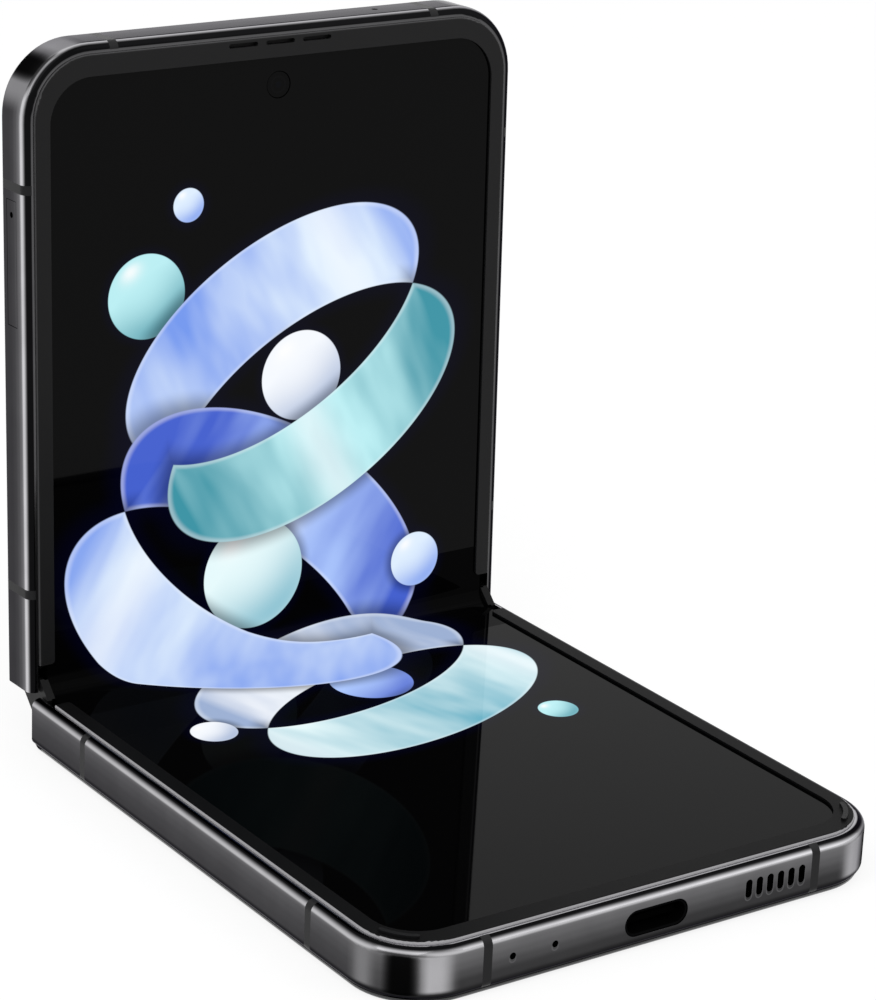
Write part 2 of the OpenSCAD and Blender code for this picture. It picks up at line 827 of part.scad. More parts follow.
module lower_battery() {
    color(cell_grey) in_lower() {
        block([-cell_hx, cell_hx], [-lower_cell_end, -cell_start], [cell_z, cell_z + cell_t]);
        block([-8, 8], [-lower_cell_end - 2, -lower_cell_end], [cell_z + 1, cell_z + 2]);
    }
}

module lower_board() {
    color(board_green) in_lower() difference() {
        union() {
            intersection() {
                block([-bay_hx + 4.25, speaker_x0 - 1.13], [-bay_end, -bay_end + sub_depth],
                    [board_z, board_z + board_t]);
                plate(frame_wall + 0.12, 0, 0, body_t);
            }
            block([-bay_hx + 5.65, -usb_w / 2 - 5.5], [-bay_end + sub_depth - 3.5, -bay_end + sub_depth - 0.2],
                [board_z, board_z + board_t + 0.9]);
        }
        block([-usb_w / 2 - 0.1, usb_w / 2 + 0.1], [-half_len, -half_len + usb_depth + 0.2], [0, body_t]);
        translate([motor_x, motor_y, 0]) cylinder(r = motor_r + 0.2, h = body_t);
    }
}

module lower_magnets() {
    color(steel) in_lower() magnets();
}

module lower_wing_plate() {
    color(steel) in_lower() wing_plate();
}

module lower_hinge_arms() {
    color(steel) in_lower() arms(sector_phase);
}

module lower_hinge_screws() {
    color(steel) in_lower() hinge_screws();
}

module usb_port() {
    color(steel) in_lower() {
        translate([0, -half_len + usb_depth, port_z]) rotate([90, 0, 0]) {
            linear_extrude(usb_depth - 0.12) difference() {
                stadium(usb_w, usb_h);
                stadium(usb_w - 2 * usb_wall, usb_h - 2 * usb_wall);
            }
            linear_extrude(0.5) stadium(usb_w - usb_wall, usb_h - usb_wall);
        }
    }
}

module usb_tongue() {
    color(black) in_lower()
        block([-usb_w / 2 + 1.12, usb_w / 2 - 1.12], [-half_len + 1.1, -half_len + usb_depth - 0.5],
            [port_z - 0.35, port_z + 0.35]);
}

module loudspeaker() {
    color(dark) in_lower() {
        x0 = speaker_x0;
        x1 = slot_x + (slot_n - 1) * slot_pitch + 2.2;
        difference() {
            block([x0, x1], [-bay_end + 0.35, -bay_end + sub_depth - 0.2], [1.2, plate_bottom - 0.02]);
            speaker_slots(0.2, -half_len, -bay_end + 2.2);
        }
        translate([(x0 + x1) / 2, -bay_end + sub_depth / 2, 1.0]) cylinder(r = 4.2, h = 0.2 + eps);
    }
}

module speaker_mesh() {
    color(black) in_lower()
        block([slot_x - 1.5, slot_x + (slot_n - 1) * slot_pitch + 1.5], [-bay_end + 0.05, -bay_end + 0.3],
            [port_z - 1.3, port_z + 1.45]);
}

module lower_microphones() {
    color(steel) in_lower() for (x = mic_places)
        block([x - 1.6, x + 1.6], [-bay_end + 0.2, -bay_end + 2.6],
            [board_z + board_t, board_z + board_t + 1.1]);
}

module vibration_motor() {
    color(steel) in_lower() translate([motor_x, motor_y, 1.1]) cylinder(r = motor_r, h = 3.4);
}

module charging_coil() {
    color(copper) in_lower() translate([0, -(cell_start + lower_cell_end) / 2, inner_glass]) linear_extrude(0.24)
        for (r = [coil_r:-2.2:coil_r - 9]) difference() {
            circle(r);
            circle(r - 2);
        }
}

// ---- Hinge nodes ----

module spine_cover() {
    color(graphite) in_spine() trough();
}

module spine_end_caps() {
    color(dark) in_spine() both_sides() end_cap();
}

module hinge_bases() {
    color(steel) in_spine() for (s = [-1, 1]) translate([s * module_x, 0, 0]) base_block();
}

module friction_clips() {
    color(gold) in_spine() clips();
}

module dust_brushes() {
    color(black) in_spine() brush_strips();
}

module hinge_flex() {
    color(copper) in_spine() flex_ribbon();
}

module folding_screen() {
    color(black) in_spine() bent_screen();
}

module lower_outer_pinions() {
    color(gold) in_spine() pinions(-3, phase_1, 1);
}

module lower_inner_pinions() {
    color(gold) in_spine() pinions(-1, phase_2, -1);
}

module upper_inner_pinions() {
    color(gold) in_spine() pinions(1, phase_3, 1);
}

module upper_outer_pinions() {
    color(gold) in_spine() pinions(3, phase_4, -1);
}

// ---- Upper half ----

camera_mid = -half_len + camera_edge + camera_pitch / 2;
camera_ys = [camera_mid - camera_pitch / 2, camera_mid + camera_pitch / 2];
cover_w = 22;
selfie_y = -half_len + selfie_edge;

module key_slot(y, l) {
    block([bay_hx - 0.3, hx + 1], [-y - l / 2 - key_gap, -y + l / 2 + key_gap],
        [key_z - key_h / 2 - key_gap, key_z + key_h / 2 + key_gap]);
}

module upper_frame() {
    color(graphite) in_upper() difference() {
        frame_body();
        key_slot(side_key_y, side_key_len);
        key_slot(volume_y, volume_len);
        block([-hx - 1, -bay_hx + 0.3], [-tray_y - tray_len / 2 - 0.08, -tray_y + tray_len / 2 + 0.08],
            [key_z - tray_h / 2 - 0.08, key_z + tray_h / 2 + 0.08]);
        translate([mic_upper_x, -bay_end + 1, key_z]) rotate([90, 0, 0]) cylinder(r = mic_r, h = frame_wall + 2);
        block([-earpiece_hx - 0.6, earpiece_hx + 0.6], [-half_len + 1.75, -bay_end + 1],
            [plate_bottom - 0.1, body_t]);
        translate([0, selfie_y, plate_bottom - 1]) cylinder(r = 2.4, h = 4);
    }
}

module upper_antenna_bands() {
    color(dark) in_upper() bands();
}

window_y = -half_len + window_len;

module upper_back_glass() {
    color(dark) in_upper() back_glass(window_y + glass_gap, -glass_stop);
}

module cover_window() {
    color(black) in_upper() difference() {
        back_glass(-half_len, window_y);
        for (y = camera_ys) translate([camera_x, y, -1]) cylinder(r = ring_r - 0.35, h = 3);
        translate([flash_x, camera_mid, -1]) cylinder(r = 1.5, h = 3);
    }
}

module cover_screen() {
    color(black) in_upper()
        block([-hx + 6.45, flash_x - 2.5], [camera_mid - cover_w / 2, camera_mid + cover_w / 2], [inner_glass, inner_glass + 0.75]);
}

module camera_rings() {
    color(steel) in_upper() for (y = camera_ys) translate([camera_x, y, 0]) {
        difference() {
            union() {
                translate([0, 0, -ring_rise]) cylinder(r = ring_r, h = ring_rise - 0.02);
                translate([0, 0, -ring_rise]) cylinder(r = ring_r - 0.43, h = ring_rise + glass_t);
            }
            translate([0, 0, -ring_rise - 1]) cylinder(r = ring_r - 1.15, h = 5);
        }
    }
}

module camera_lenses() {
    color(black) in_upper() for (y = camera_ys)
        translate([camera_x, y, -ring_rise + 0.2]) cylinder(r = ring_r - 1.2, h = 0.8);
}

module camera_modules() {
    color(dark) in_upper() for (y = camera_ys) {
        translate([camera_x, y, -ring_rise + 1.05]) cylinder(r = ring_r - 1.6, h = 1.4);
        block([camera_x - module_r, camera_x + module_r], [y - module_r, y + module_r],
            [glass_t + 0.05, plate_bottom - 0.1]);
    }
}

module flash_led() {
    color([0.95, 0.9, 0.7]) in_upper()
        translate([flash_x, camera_mid, 0.05]) cylinder(r = 1.42, h = glass_t + 0.6);
}

module earpiece_slits(w, z0, z1) {
    for (x = [-5.4, 0, 5.4]) translate([x, -half_len + 2.08, z0]) linear_extrude(z1 - z0)
        stadium(4.2, w);
}

module upper_border() {
    color(dark) in_upper() difference() {
        border_ring();
        earpiece_slits(0.56, body_t - 1, body_t + 1);
    }
}

module upper_screen() {
    color(black) in_upper() difference() {
        screen_panel();
        translate([0, selfie_y, body_t - panel_t - 1]) cylinder(r = 1.75, h = 3);
    }
}

module upper_battery() {
    color(cell_grey) in_upper() {
        block([-cell_hx, cell_hx], [-upper_cell_end, -cell_start], [cell_z, cell_z + cell_t]);
        block([-2, 12], [-upper_cell_end - 1.4, -upper_cell_end], [cell_z + 1, cell_z + 2]);
    }
}

// The main board runs round the card reader and stops short of the rear cameras
module main_board() {
    left = -bay_hx + 4.35;
    right = camera_x - module_r - 1.1;
    near = -bay_end + main_depth;
    reader_far = -tray_y - tray_len / 2 - 1.7;
    camera_near = camera_ys[1] + module_r + 1.3;
    color(board_green) in_upper() difference() {
        intersection() {
            translate([0, 0, board_z]) linear_extrude(board_t) polygon([
                [left, reader_far], [left, -bay_end], [right, -bay_end], [right, camera_near],
                [bay_hx - 3.15, camera_near], [bay_hx - 3.15, near], [reader_x + 0.45, near],
                [reader_x + 0.45, reader_far]
            ]);
            plate(frame_wall + 0.12, 0, 0, body_t);
        }
        translate([0, selfie_y, 0]) cylinder(r = selfie_r + 0.3, h = body_t);
        block([-earpiece_hx - 0.4, earpiece_hx + 0.4], [-half_len, -bay_end + earpiece_len + 0.4], [0, body_t]);
    }
}

module board_shields() {
    z0 = board_z + board_t;
    right = camera_x - module_r - 2.2;
    near = -bay_end + main_depth - 2.1;
    color(steel) in_upper() {
        block([-bay_hx + 6.65, -earpiece_hx - 1.2], [-bay_end + 2.5, -bay_end + 13.8],
            [z0, plate_bottom - 0.15]);
        block([reader_x + 3.45, right], [-bay_end + 12.3, near], [z0, plate_bottom - 0.15]);
        block([reader_x + 3.45, right - 4.5], [near - 6.6, near], [inner_glass + 0.8, board_z]);
    }
}

module upper_magnets() {
    color(steel) in_upper() magnets();
}

module upper_wing_plate() {
    color(steel) in_upper() wing_plate();
}

module upper_hinge_arms() {
    color(steel) in_upper() arms(180 - upper_phase);
}

module upper_hinge_screws() {
    color(steel) in_upper() hinge_screws();
}

module front_camera() {
    color(black) in_upper() translate([0, selfie_y, 0]) {
        translate([0, 0, 1.6]) cylinder(r = selfie_r, h = plate_bottom - 1.7);
        translate([0, 0, plate_bottom - 0.2]) cylinder(r = 1.65, h = body_t - 0.08 - plate_bottom + 0.2);
    }
}

module earpiece() {
    color(dark) in_upper() block([-earpiece_hx, earpiece_hx], [-bay_end + 0.1, -bay_end + 0.1 + earpiece_len], [inner_glass + 0.85, plate_bottom - 0.2]);
}

module earpiece_mesh() {
    color(black) in_upper()
        block([-earpiece_hx - 0.4, earpiece_hx + 0.4], [-half_len + 1.8, -half_len + 2.36], [body_t - seat_depth - 0.4, body_t - seat_depth - 0.1]);
}

module upper_microphone() {
    color(steel) in_upper()
        block([mic_upper_x - 1.6, mic_upper_x + 1.6], [-bay_end + 0.2, -bay_end + 2.4], [board_z + board_t, board_z + board_t + 1.1]);
}

module card_reader() {
    color(steel) in_upper() difference() {
        block([-bay_hx + 0.2, reader_x],
            [-tray_y - tray_len / 2 - 0.35, -tray_y + tray_len / 2 + 0.35], [key_z - 1.2, key_z + 1.2]);
        block([-hx, -bay_hx + tray_depth - 1.2], [-tray_y - tray_len / 2 + 0.2, -tray_y + tray_len / 2 - 0.2],
            [key_z - 0.6, key_z + 0.6]);
    }
}

module key_switches() {
    color(gold) in_upper() for (key = [[side_key_y, [0]], [volume_y, [-5, 5]]])
        for (dy = key[1]) block([bay_hx - 2.1, bay_hx - 0.9 - key_travel],
            [-key[0] + dy - 1.5, -key[0] + dy + 1.5], [key_z - 0.9, key_z + 0.9]);
}

// A key's bar through the side wall and the flange that keeps it from falling out
module key_bar(y, l, proud, flange_x) {
    block([flange_x - eps, hx + proud], [-y - l / 2, -y + l / 2], [key_z - key_h / 2, key_z + key_h / 2]);
    block([bay_hx - 0.8, flange_x], [-y - l / 2 - 0.6, -y + l / 2 + 0.6],
        [key_z - key_h / 2 - 0.5, key_z + key_h / 2 + 0.5]);
}

module side_key() {
    color(graphite) in_upper() key_bar(side_key_y, side_key_len, -0.06, bay_hx - 0.05);
}

module volume_key() {
    color(graphite) in_upper() {
        key_bar(volume_y, volume_len, key_proud, bay_hx - 0.35);
        block([bay_hx - 0.4, bay_hx - 0.05], [-volume_y - 1.5, -volume_y + 1.5],
            [key_z - key_h / 2 - 0.5, key_z + key_h / 2 + 0.5]);
    }
}

module card_tray() {
    color(graphite) in_upper() difference() {
        union() {
            block([-hx + 0.02, -hx + 1.6], [-tray_y - tray_len / 2, -tray_y + tray_len / 2],
                [key_z - tray_h / 2, key_z + tray_h / 2]);
            block([-hx + 1.5, -bay_hx + tray_depth - 1.6],
                [-tray_y - tray_len / 2 + 0.5, -tray_y + tray_len / 2 - 0.5], [key_z - 0.45, key_z + 0.45]);
        }
        translate([-hx - 1, -tray_y - 6.1, key_z]) rotate([0, 90, 0]) cylinder(r = 0.38, h = 4);
        block([-bay_hx + 1.6, -bay_hx + tray_depth - 2.8], [-tray_y - 6.2, -tray_y + 6.2],
            [key_z - 0.15, key_z + 1]);
    }
}

lower_frame();
lower_antenna_bands();
lower_back_glass();
lower_border();
lower_bumpers();
lower_screen();
lower_battery();
lower_board();
lower_magnets();
lower_wing_plate();
lower_hinge_arms();
lower_hinge_screws();
usb_port();
usb_tongue();
loudspeaker();
speaker_mesh();
lower_microphones();
vibration_motor();
charging_coil();
spine_cover();
spine_end_caps();
hinge_bases();
friction_clips();
dust_brushes();
hinge_flex();
folding_screen();
lower_outer_pinions();
lower_inner_pinions();
upper_inner_pinions();
upper_outer_pinions();
upper_frame();
upper_antenna_bands();
upper_back_glass();
upper_border();
upper_screen();
upper_battery();
main_board();
board_shields();
upper_magnets();
upper_wing_plate();
upper_hinge_arms();
upper_hinge_screws();
cover_window();
cover_screen();
camera_rings();
camera_lenses();
camera_modules();
flash_led();
front_camera();
earpiece();
earpiece_mesh();
upper_microphone();
card_reader();
key_switches();
side_key();
volume_key();
card_tray();
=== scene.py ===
"""Looks, light and camera for a clamshell phone that stands half open."""

import logging
import math
from dataclasses import dataclass, field
from enum import Enum
from functools import reduce
from typing import Callable, ClassVar, Sequence

import bmesh
import bpy
from mathutils import Matrix, Vector


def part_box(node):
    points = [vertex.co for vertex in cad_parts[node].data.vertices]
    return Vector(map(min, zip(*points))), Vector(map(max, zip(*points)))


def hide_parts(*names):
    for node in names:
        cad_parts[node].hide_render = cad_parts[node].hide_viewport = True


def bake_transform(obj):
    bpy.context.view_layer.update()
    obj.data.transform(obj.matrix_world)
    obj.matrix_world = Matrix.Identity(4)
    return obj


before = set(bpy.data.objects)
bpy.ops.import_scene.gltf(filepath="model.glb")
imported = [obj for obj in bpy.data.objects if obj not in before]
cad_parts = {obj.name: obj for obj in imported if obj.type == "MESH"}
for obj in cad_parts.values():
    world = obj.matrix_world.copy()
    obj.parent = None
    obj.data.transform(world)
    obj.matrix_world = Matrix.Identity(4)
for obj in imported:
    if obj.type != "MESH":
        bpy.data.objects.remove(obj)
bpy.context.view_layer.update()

MM = 0.001
TO_MM = 1000.0
LOG = logging.getLogger("clamshell_phone")

Colour = tuple[float, float, float]
Point = tuple[float, float, float]
Pair = tuple[float, float]
Stops = tuple[Pair, ...]
Socket = bpy.types.NodeSocket
Sockets = dict[str, Socket]
Value = float | Socket
Fed = Value | Sequence[float]

# How far the upper half is turned up from lying flat, and the thickness of a half in metres.
UPRIGHT = math.radians(88.5)
UP_Y, UP_Z = math.cos(UPRIGHT), math.sin(UPRIGHT)
THICK = 0.0069

ORIGIN: Point = (0.0, 0.0, 0.0)
ACROSS: Point = (1.0, 0.0, 0.0)
FORWARD: Point = (0.0, -1.0, 0.0)
JET: Colour = (0.0, 0.0, 0.0)
WHITE: Colour = (1.0, 1.0, 1.0)
NOISE_BAND: Pair = (0.3, 0.7)
SOFT_EDGE: Pair = (-0.05, 0.08)


class Half(Enum):
    """The two halves: the screen's start at the fold, its normal and its run away from the crease."""

    LOWER = ((0.0, 0.0413, THICK), (0.0, 0.0, 1.0), (0.0, 1.0, 0.0))
    UPPER = ((0.0, 0.041555, 0.007149), (0.0, -UP_Z, UP_Y), (0.0, UP_Y, UP_Z))

    @property
    def start(self) -> Point:
        """Return the place on the screen where the flat picture's y is 0."""
        return self.value[0]

    @property
    def facing(self) -> Point:
        """Return the screen's normal."""
        return self.value[1]

    @property
    def along(self) -> Point:
        """Return the direction in which the flat picture's y grows."""
        return self.value[2]

    @property
    def back(self) -> Point:
        """Return the place on the back plane under the start."""
        return tuple(s - THICK * f for s, f in zip(self.start, self.facing))


def grey(level: float) -> Colour:
    """Return a grey with a trace of blue."""
    return (level, level * 0.99, level * 1.025)


# ---- Node trees ----


class NodeTree:
    """A material's or a group's node tree while it is being wired."""

    def __init__(self, tree: bpy.types.NodeTree) -> None:
        """Keep the tree that the nodes go into.

        Args:
            tree: An empty shader node tree.
        """
        self.tree = tree

    def node(self, kind: str, *values: Fed, **settings: object) -> bpy.types.Node:
        """Add a node, set its plain properties and feed its first inputs.

        Args:
            kind: Blender's type name of the node.
            values: What its first inputs get, in order.
            settings: Properties of the node by name.

        Returns:
            The new node.
        """
        made = self.tree.nodes.new(kind)
        for name, setting in settings.items():
            setattr(made, name, setting)
        for socket, value in zip(made.inputs, values):
            self.feed(socket, value)
        return made

    def feed(self, socket: Socket, value: Fed) -> None:
        """Link a socket to another one, or set its default value.

        Args:
            socket: The input to feed.
            value: An output socket, a number or a colour.
        """
        if isinstance(value, bpy.types.NodeSocket):
            self.tree.links.new(value, socket)
        elif isinstance(value, (int, float)):
            socket.default_value = (value, value, value, 1.0) if socket.type == "RGBA" else value
        else:
            alpha = (1.0,) if socket.type == "RGBA" and len(value) == 3 else ()
            socket.default_value = (*value, *alpha)

    def dress(self, node: bpy.types.Node, **values: Fed) -> None:
        """Feed a node's inputs by their names, with an underscore for each space."""
        for name, value in values.items():
            self.feed(node.inputs[name.replace("_", " ")], value)

    def math(self, operation: str, a: Value, b: Value = 0.0, c: Value = 0.0, clamp: bool = False) -> Socket:
        """Return what a Math node makes of its operands, held between 0 and 1 if it is clamped."""
        return self.node("ShaderNodeMath", a, b, c, operation=operation, use_clamp=clamp).outputs[0]

    def times(self, *values: Value) -> Socket:
        """Multiply numbers, from left to right."""
        return reduce(lambda a, b: self.math("MULTIPLY", a, b), values)

    def plus(self, *values: Value) -> Socket:
        """Add numbers, from left to right."""
        return reduce(lambda a, b: self.math("ADD", a, b), values)

    def minus(self, a: Value, b: Value) -> Socket:
        """Subtract the second number from the first."""
        return self.math("SUBTRACT", a, b)

    def over(self, a: Value, b: Value) -> Socket:
        """Divide the first number by the second."""
        return self.math("DIVIDE", a, b)

    def most(self, a: Value, b: Value = 0.0) -> Socket:
        """Return the larger of two numbers."""
        return self.math("MAXIMUM", a, b)

    def least(self, a: Value, b: Value) -> Socket:
        """Return the smaller of two numbers."""
        return self.math("MINIMUM", a, b)

    def size(self, a: Value) -> Socket:
        """Return a number without its sign."""
        return self.math("ABSOLUTE", a)

    def length(self, x: Value, y: Value) -> Socket:
        """Return the length of a plane vector."""
        return self.math("SQRT", self.plus(self.times(x, x), self.times(y, y)))

    def dome(self, x: Value) -> Socket:
        """Return how high a unit dome stands at a distance from its middle."""
        return self.math("SQRT", self.most(self.minus(1.0, self.times(x, x))))

    def vector(self, operation: str, a: Fed, b: Fed = ORIGIN) -> Socket:
        """Return a Vector Math node's vector, or its number for a dot product or a distance."""
        made = self.node("ShaderNodeVectorMath", a, b, operation=operation)
        return made.outputs[1 if operation in ("DOT_PRODUCT", "DISTANCE") else 0]

    def dot(self, a: Fed, b: Fed) -> Socket:
        """Return the dot product of two vectors."""
        return self.vector("DOT_PRODUCT", a, b)

    def blend(self, share: Value, a: Fed, b: Fed) -> Socket:
        """Mix two colours.

        Args:
            share: Share of the second colour.
            a: First colour.
            b: Second colour.

        Returns:
            The mixed colour's socket.
        """
        made = self.node("ShaderNodeMix", data_type="RGBA", blend_type="MIX", clamp_factor=True)
        for place, value in ((0, share), (6, a), (7, b)):
            self.feed(made.inputs[place], value)
        return made.outputs[2]

    def spread(self, value: Value, low: float, high: float, to_low: Value = 0.0, to_high: Value = 1.0,
               ease: str = "LINEAR") -> Socket:
        """Map a number from one range onto another, given by their ends, and hold it there."""
        made = self.node("ShaderNodeMapRange", value, low, high, to_low, to_high, interpolation_type=ease)
        return made.outputs[0]

    def soft(self, value: Value, low: float, high: float, *to: Value) -> Socket:
        """Map a number onto 0 to 1, or another range, with a step that eases in and out."""
        return self.spread(value, low, high, *(to or (0.0, 1.0)), "SMOOTHSTEP")

    def noise(self, place: Socket, scale: float, detail: float = 2.0, rough: float = 0.5) -> Socket:
        """Add a noise texture.

        Args:
            place: Coordinates.
            scale: Waves per unit of the coordinates.
            detail: Number of octaves.
            rough: Strength of the finer octaves.

        Returns:
            The noise value, from 0 to 1.
        """
        made = self.node("ShaderNodeTexNoise")
        self.dress(made, Vector=place, Scale=scale, Detail=detail, Roughness=rough)
        return made.outputs[0]

    def here(self) -> Socket:
        """Return the object's own coordinates, in metres."""
        return self.node("ShaderNodeTexCoord").outputs["Object"]

    def normal(self) -> Socket:
        """Return the object's own normal."""
        return self.node("ShaderNodeTexCoord").outputs["Normal"]

    def ramp(self, value: Value, stops: Stops) -> Socket:
        """Add a ramp of greys.

        Args:
            value: Place on the ramp, from 0 to 1.
            stops: Places and their levels, in order.

        Returns:
            The colour's socket.
        """
        made = self.node("ShaderNodeValToRGB", value)
        band = made.color_ramp
        band.interpolation = "EASE"
        while len(band.elements) < len(stops):
            band.elements.new(0.5)
        for element, (place, level) in zip(band.elements, stops):
            element.position = place
            element.color = (*grey(level), 1.0)
        return made.outputs[0]

    def bump(self, shader: bpy.types.Node, height: Socket, depth: float, strength: float) -> None:
        """Give a shader fine relief.

        Args:
            shader: The shader.
            height: The relief's height.
            depth: Its depth in metres.
            strength: Its strength.
        """
        made = self.node("ShaderNodeBump")
        self.dress(made, Distance=depth, Strength=strength, Height=height)
        self.feed(shader.inputs["Normal"], made.outputs[0])


class Effect(NodeTree):
    """A shader node group with named inputs and outputs, built once and placed where it is needed."""

    def __init__(self, name: str, inputs: dict[str, float | tuple], outputs: dict[str, str],
                 wire: Callable[["Effect", Sockets], Sockets]) -> None:
        """Build the group.

        Args:
            name: The group's name.
            inputs: Default of each input by name; a tuple of 3 is a vector and one of 4 a colour.
            outputs: Kind of each output by name, Float, Vector or Color.
            wire: Makes the nodes from the input sockets and returns the output sockets.
        """
        super().__init__(bpy.data.node_groups.new(name, "ShaderNodeTree"))
        for label, default in inputs.items():
            kind = "NodeSocketFloat"
            if isinstance(default, tuple):
                kind = "NodeSocketVector" if len(default) == 3 else "NodeSocketColor"
            socket = self.tree.interface.new_socket(name=label, in_out="INPUT", socket_type=kind)
            socket.default_value = default
        for label, kind in outputs.items():
            self.tree.interface.new_socket(name=label, in_out="OUTPUT", socket_type="NodeSocket" + kind)
        start = self.node("NodeGroupInput")
        end = self.node("NodeGroupOutput")
        self.dress(end, **wire(self, {s.name: s for s in start.outputs if s.name}))

    def place(self, tree: NodeTree, **values: object) -> Sockets:
        """Put the group into a material.

        Args:
            tree: The material's tree.
            values: Inputs by name, with an underscore for each space.

        Returns:
            The group's outputs by name.
        """
        made = tree.node("ShaderNodeGroup", node_tree=self.tree)
        tree.dress(made, **values)
        return {s.name: s for s in made.outputs}


def wire_grain(tree: Effect, given: Sockets) -> Sockets:
    """Wire fine grain over slow cloudiness.

    Args:
        tree: The group's tree.
        given: Its inputs.

    Returns:
        Value between Low and High, Height for a bump and a Tint between 0 and 1.
    """
    place = tree.vector("SCALE", given["Place"])
    tree.feed(place.node.inputs["Scale"], given["Scale"])
    fine = tree.noise(place, 1.0, 3.0, 0.6)
    slow = tree.noise(place, 0.04)
    mixed = tree.plus(tree.times(fine, 0.55), tree.times(slow, 0.45))
    value = tree.spread(mixed, *NOISE_BAND, given["Low"], given["High"])
    return {"Value": value, "Height": fine, "Tint": slow}


GRAIN = Effect(
    "surface_grain",
    {"Place": ORIGIN, "Scale": 2000.0, "Low": 0.3, "High": 0.4},
    {"Value": "Float", "Height": "Float", "Tint": "Float"},
    wire_grain,
)

# How the satin of a hoop folds and shines; shadows are ranges of the distance inside the outline.
FOLDS, FOLD_DEPTH, GLEAM_LAG, GLEAM_POWER = 3.4, 0.32, 0.25, 9.0
SATIN_STRETCH, CREASE_SCALE, CREASE_DEPTH = (2.6, 0.5), 1.6, 0.26
BASE_LIGHT, DOME_LIGHT, ACROSS_LIGHT = 0.04, 0.45, 0.22
HEM, HEM_LIGHT, GLEAM_COLOUR = (0.55, 0.1), 0.3, (0.93, 0.97, 1.0)
HOOP_SHADOW, PEARL_SHADOW = (-2.2, 0.3), (-1.6, 0.3)

# Where the light on a pearl comes from, then the powers and shares of its spot and of the glow at its edge.
LAMP: Point = (-0.42, 0.62, 0.66)
SPOT, GLOW = (26.0, 0.85), (5.0, 0.35)


def wire_hoop(tree: Effect, given: Sockets) -> Sockets:
    """Wire one side of a satin hoop: the wall between the near arcs of its two rims.

    Args:
        tree: The group's tree.
        given: Its inputs, in millimetres; a Side of 1 is the near wall and -1 the far one.

    Returns:
        The wall's Color, its Cover and the Shadow that it casts beside itself.
    """
    turned = tree.node("ShaderNodeVectorRotate", rotation_type="Z_AXIS")
    tree.dress(turned, Vector=tree.vector("SUBTRACT", given["Place"], given["Middle"]),
               Angle=tree.times(given["Turn"], -1.0))
    x, y, _ = tree.node("ShaderNodeSeparateXYZ", turned.outputs[0]).outputs
    x = tree.over(x, given["Long"])
    y = tree.over(tree.times(y, given["Side"]), given["Short"])
    step = tree.over(tree.times(given["Height"], 0.5), given["Short"])
    low = tree.minus(1.0, tree.length(x, tree.plus(y, step)))
    high = tree.minus(tree.length(x, tree.minus(y, step)), 1.0)
    reach = tree.times(tree.least(low, high), given["Short"])
    across = tree.math("DIVIDE", low, tree.most(tree.plus(low, high), 0.02), clamp=True)
    silk = tree.node("ShaderNodeCombineXYZ", tree.times(x, SATIN_STRETCH[0]),
                     tree.times(across, SATIN_STRETCH[1]), given["Phase"])
    crease = tree.spread(tree.noise(silk.outputs[0], CREASE_SCALE), *NOISE_BAND, -CREASE_DEPTH, CREASE_DEPTH)
    wave = tree.times(tree.math("SINE", tree.math("MULTIPLY_ADD", x, FOLDS, given["Phase"])), FOLD_DEPTH)
    light = tree.plus(tree.plus(tree.times(tree.dome(x), DOME_LIGHT), crease), tree.plus(wave, BASE_LIGHT))
    light = tree.math("ADD", light, tree.times(across, ACROSS_LIGHT), clamp=True)
    late = tree.math("MULTIPLY_ADD", x, FOLDS, tree.plus(given["Phase"], GLEAM_LAG))
    gleam = tree.math("POWER", tree.most(tree.math("SINE", late)), GLEAM_POWER)
    shine = tree.most(tree.times(gleam, given["Sheen"]), tree.times(tree.soft(reach, *HEM), HEM_LIGHT))
    colour = tree.blend(light, given["Deep"], given["Light"])
    return {
        "Color": tree.blend(shine, colour, GLEAM_COLOUR),
        "Cover": tree.soft(reach, *SOFT_EDGE),
        "Shadow": tree.soft(reach, *HOOP_SHADOW),
    }


DYED = {"Deep": (0.1, 0.4, 0.5, 1.0), "Light": (0.6, 0.9, 0.95, 1.0)}
LAYER = {"Color": "Color", "Cover": "Float", "Shadow": "Float"}
HOOP = Effect(
    "satin_hoop",
    {"Place": ORIGIN, "Middle": ORIGIN, "Turn": 0.0, "Long": 20.0, "Short": 8.0, "Height": 10.0, "Side": 1.0,
     "Phase": 0.0, "Sheen": 0.4, **DYED},
    LAYER,
    wire_hoop,
)


def wire_pearl(tree: Effect, given: Sockets) -> Sockets:
    """Wire a round pearl lit from the upper left.

    Args:
        tree: The group's tree.
        given: Its inputs, in millimetres.

    Returns:
        The pearl's Color, its Cover and the Shadow that it casts beside itself.
    """
    away = tree.vector("SUBTRACT", given["Place"], given["Middle"])
    x, y, _ = tree.node("ShaderNodeSeparateXYZ", away).outputs
    x, y = tree.over(x, given["Radius"]), tree.over(y, given["Radius"])
    out = tree.length(x, y)
    tilt = tree.math("MULTIPLY_ADD", x, LAMP[0], tree.times(y, LAMP[1]))
    lit = tree.math("MULTIPLY_ADD", tree.dome(out), LAMP[2], tilt)
    spot = tree.times(tree.math("POWER", tree.most(lit), SPOT[0]), SPOT[1])
    glow = tree.times(tree.math("POWER", tree.least(out, 1.0), GLOW[0]), GLOW[1])
    light = tree.math("ADD", tree.soft(lit, -0.5, 1.0), glow, clamp=True)
    reach = tree.times(tree.minus(1.0, out), given["Radius"])
    return {
        "Color": tree.blend(spot, tree.blend(light, given["Deep"], given["Light"]), WHITE),
        "Cover": tree.soft(reach, *SOFT_EDGE),
        "Shadow": tree.soft(reach, *PEARL_SHADOW),
    }


PEARL = Effect("round_pearl", {"Place": ORIGIN, "Middle": ORIGIN, "Radius": 4.0, **DYED}, LAYER, wire_pearl)


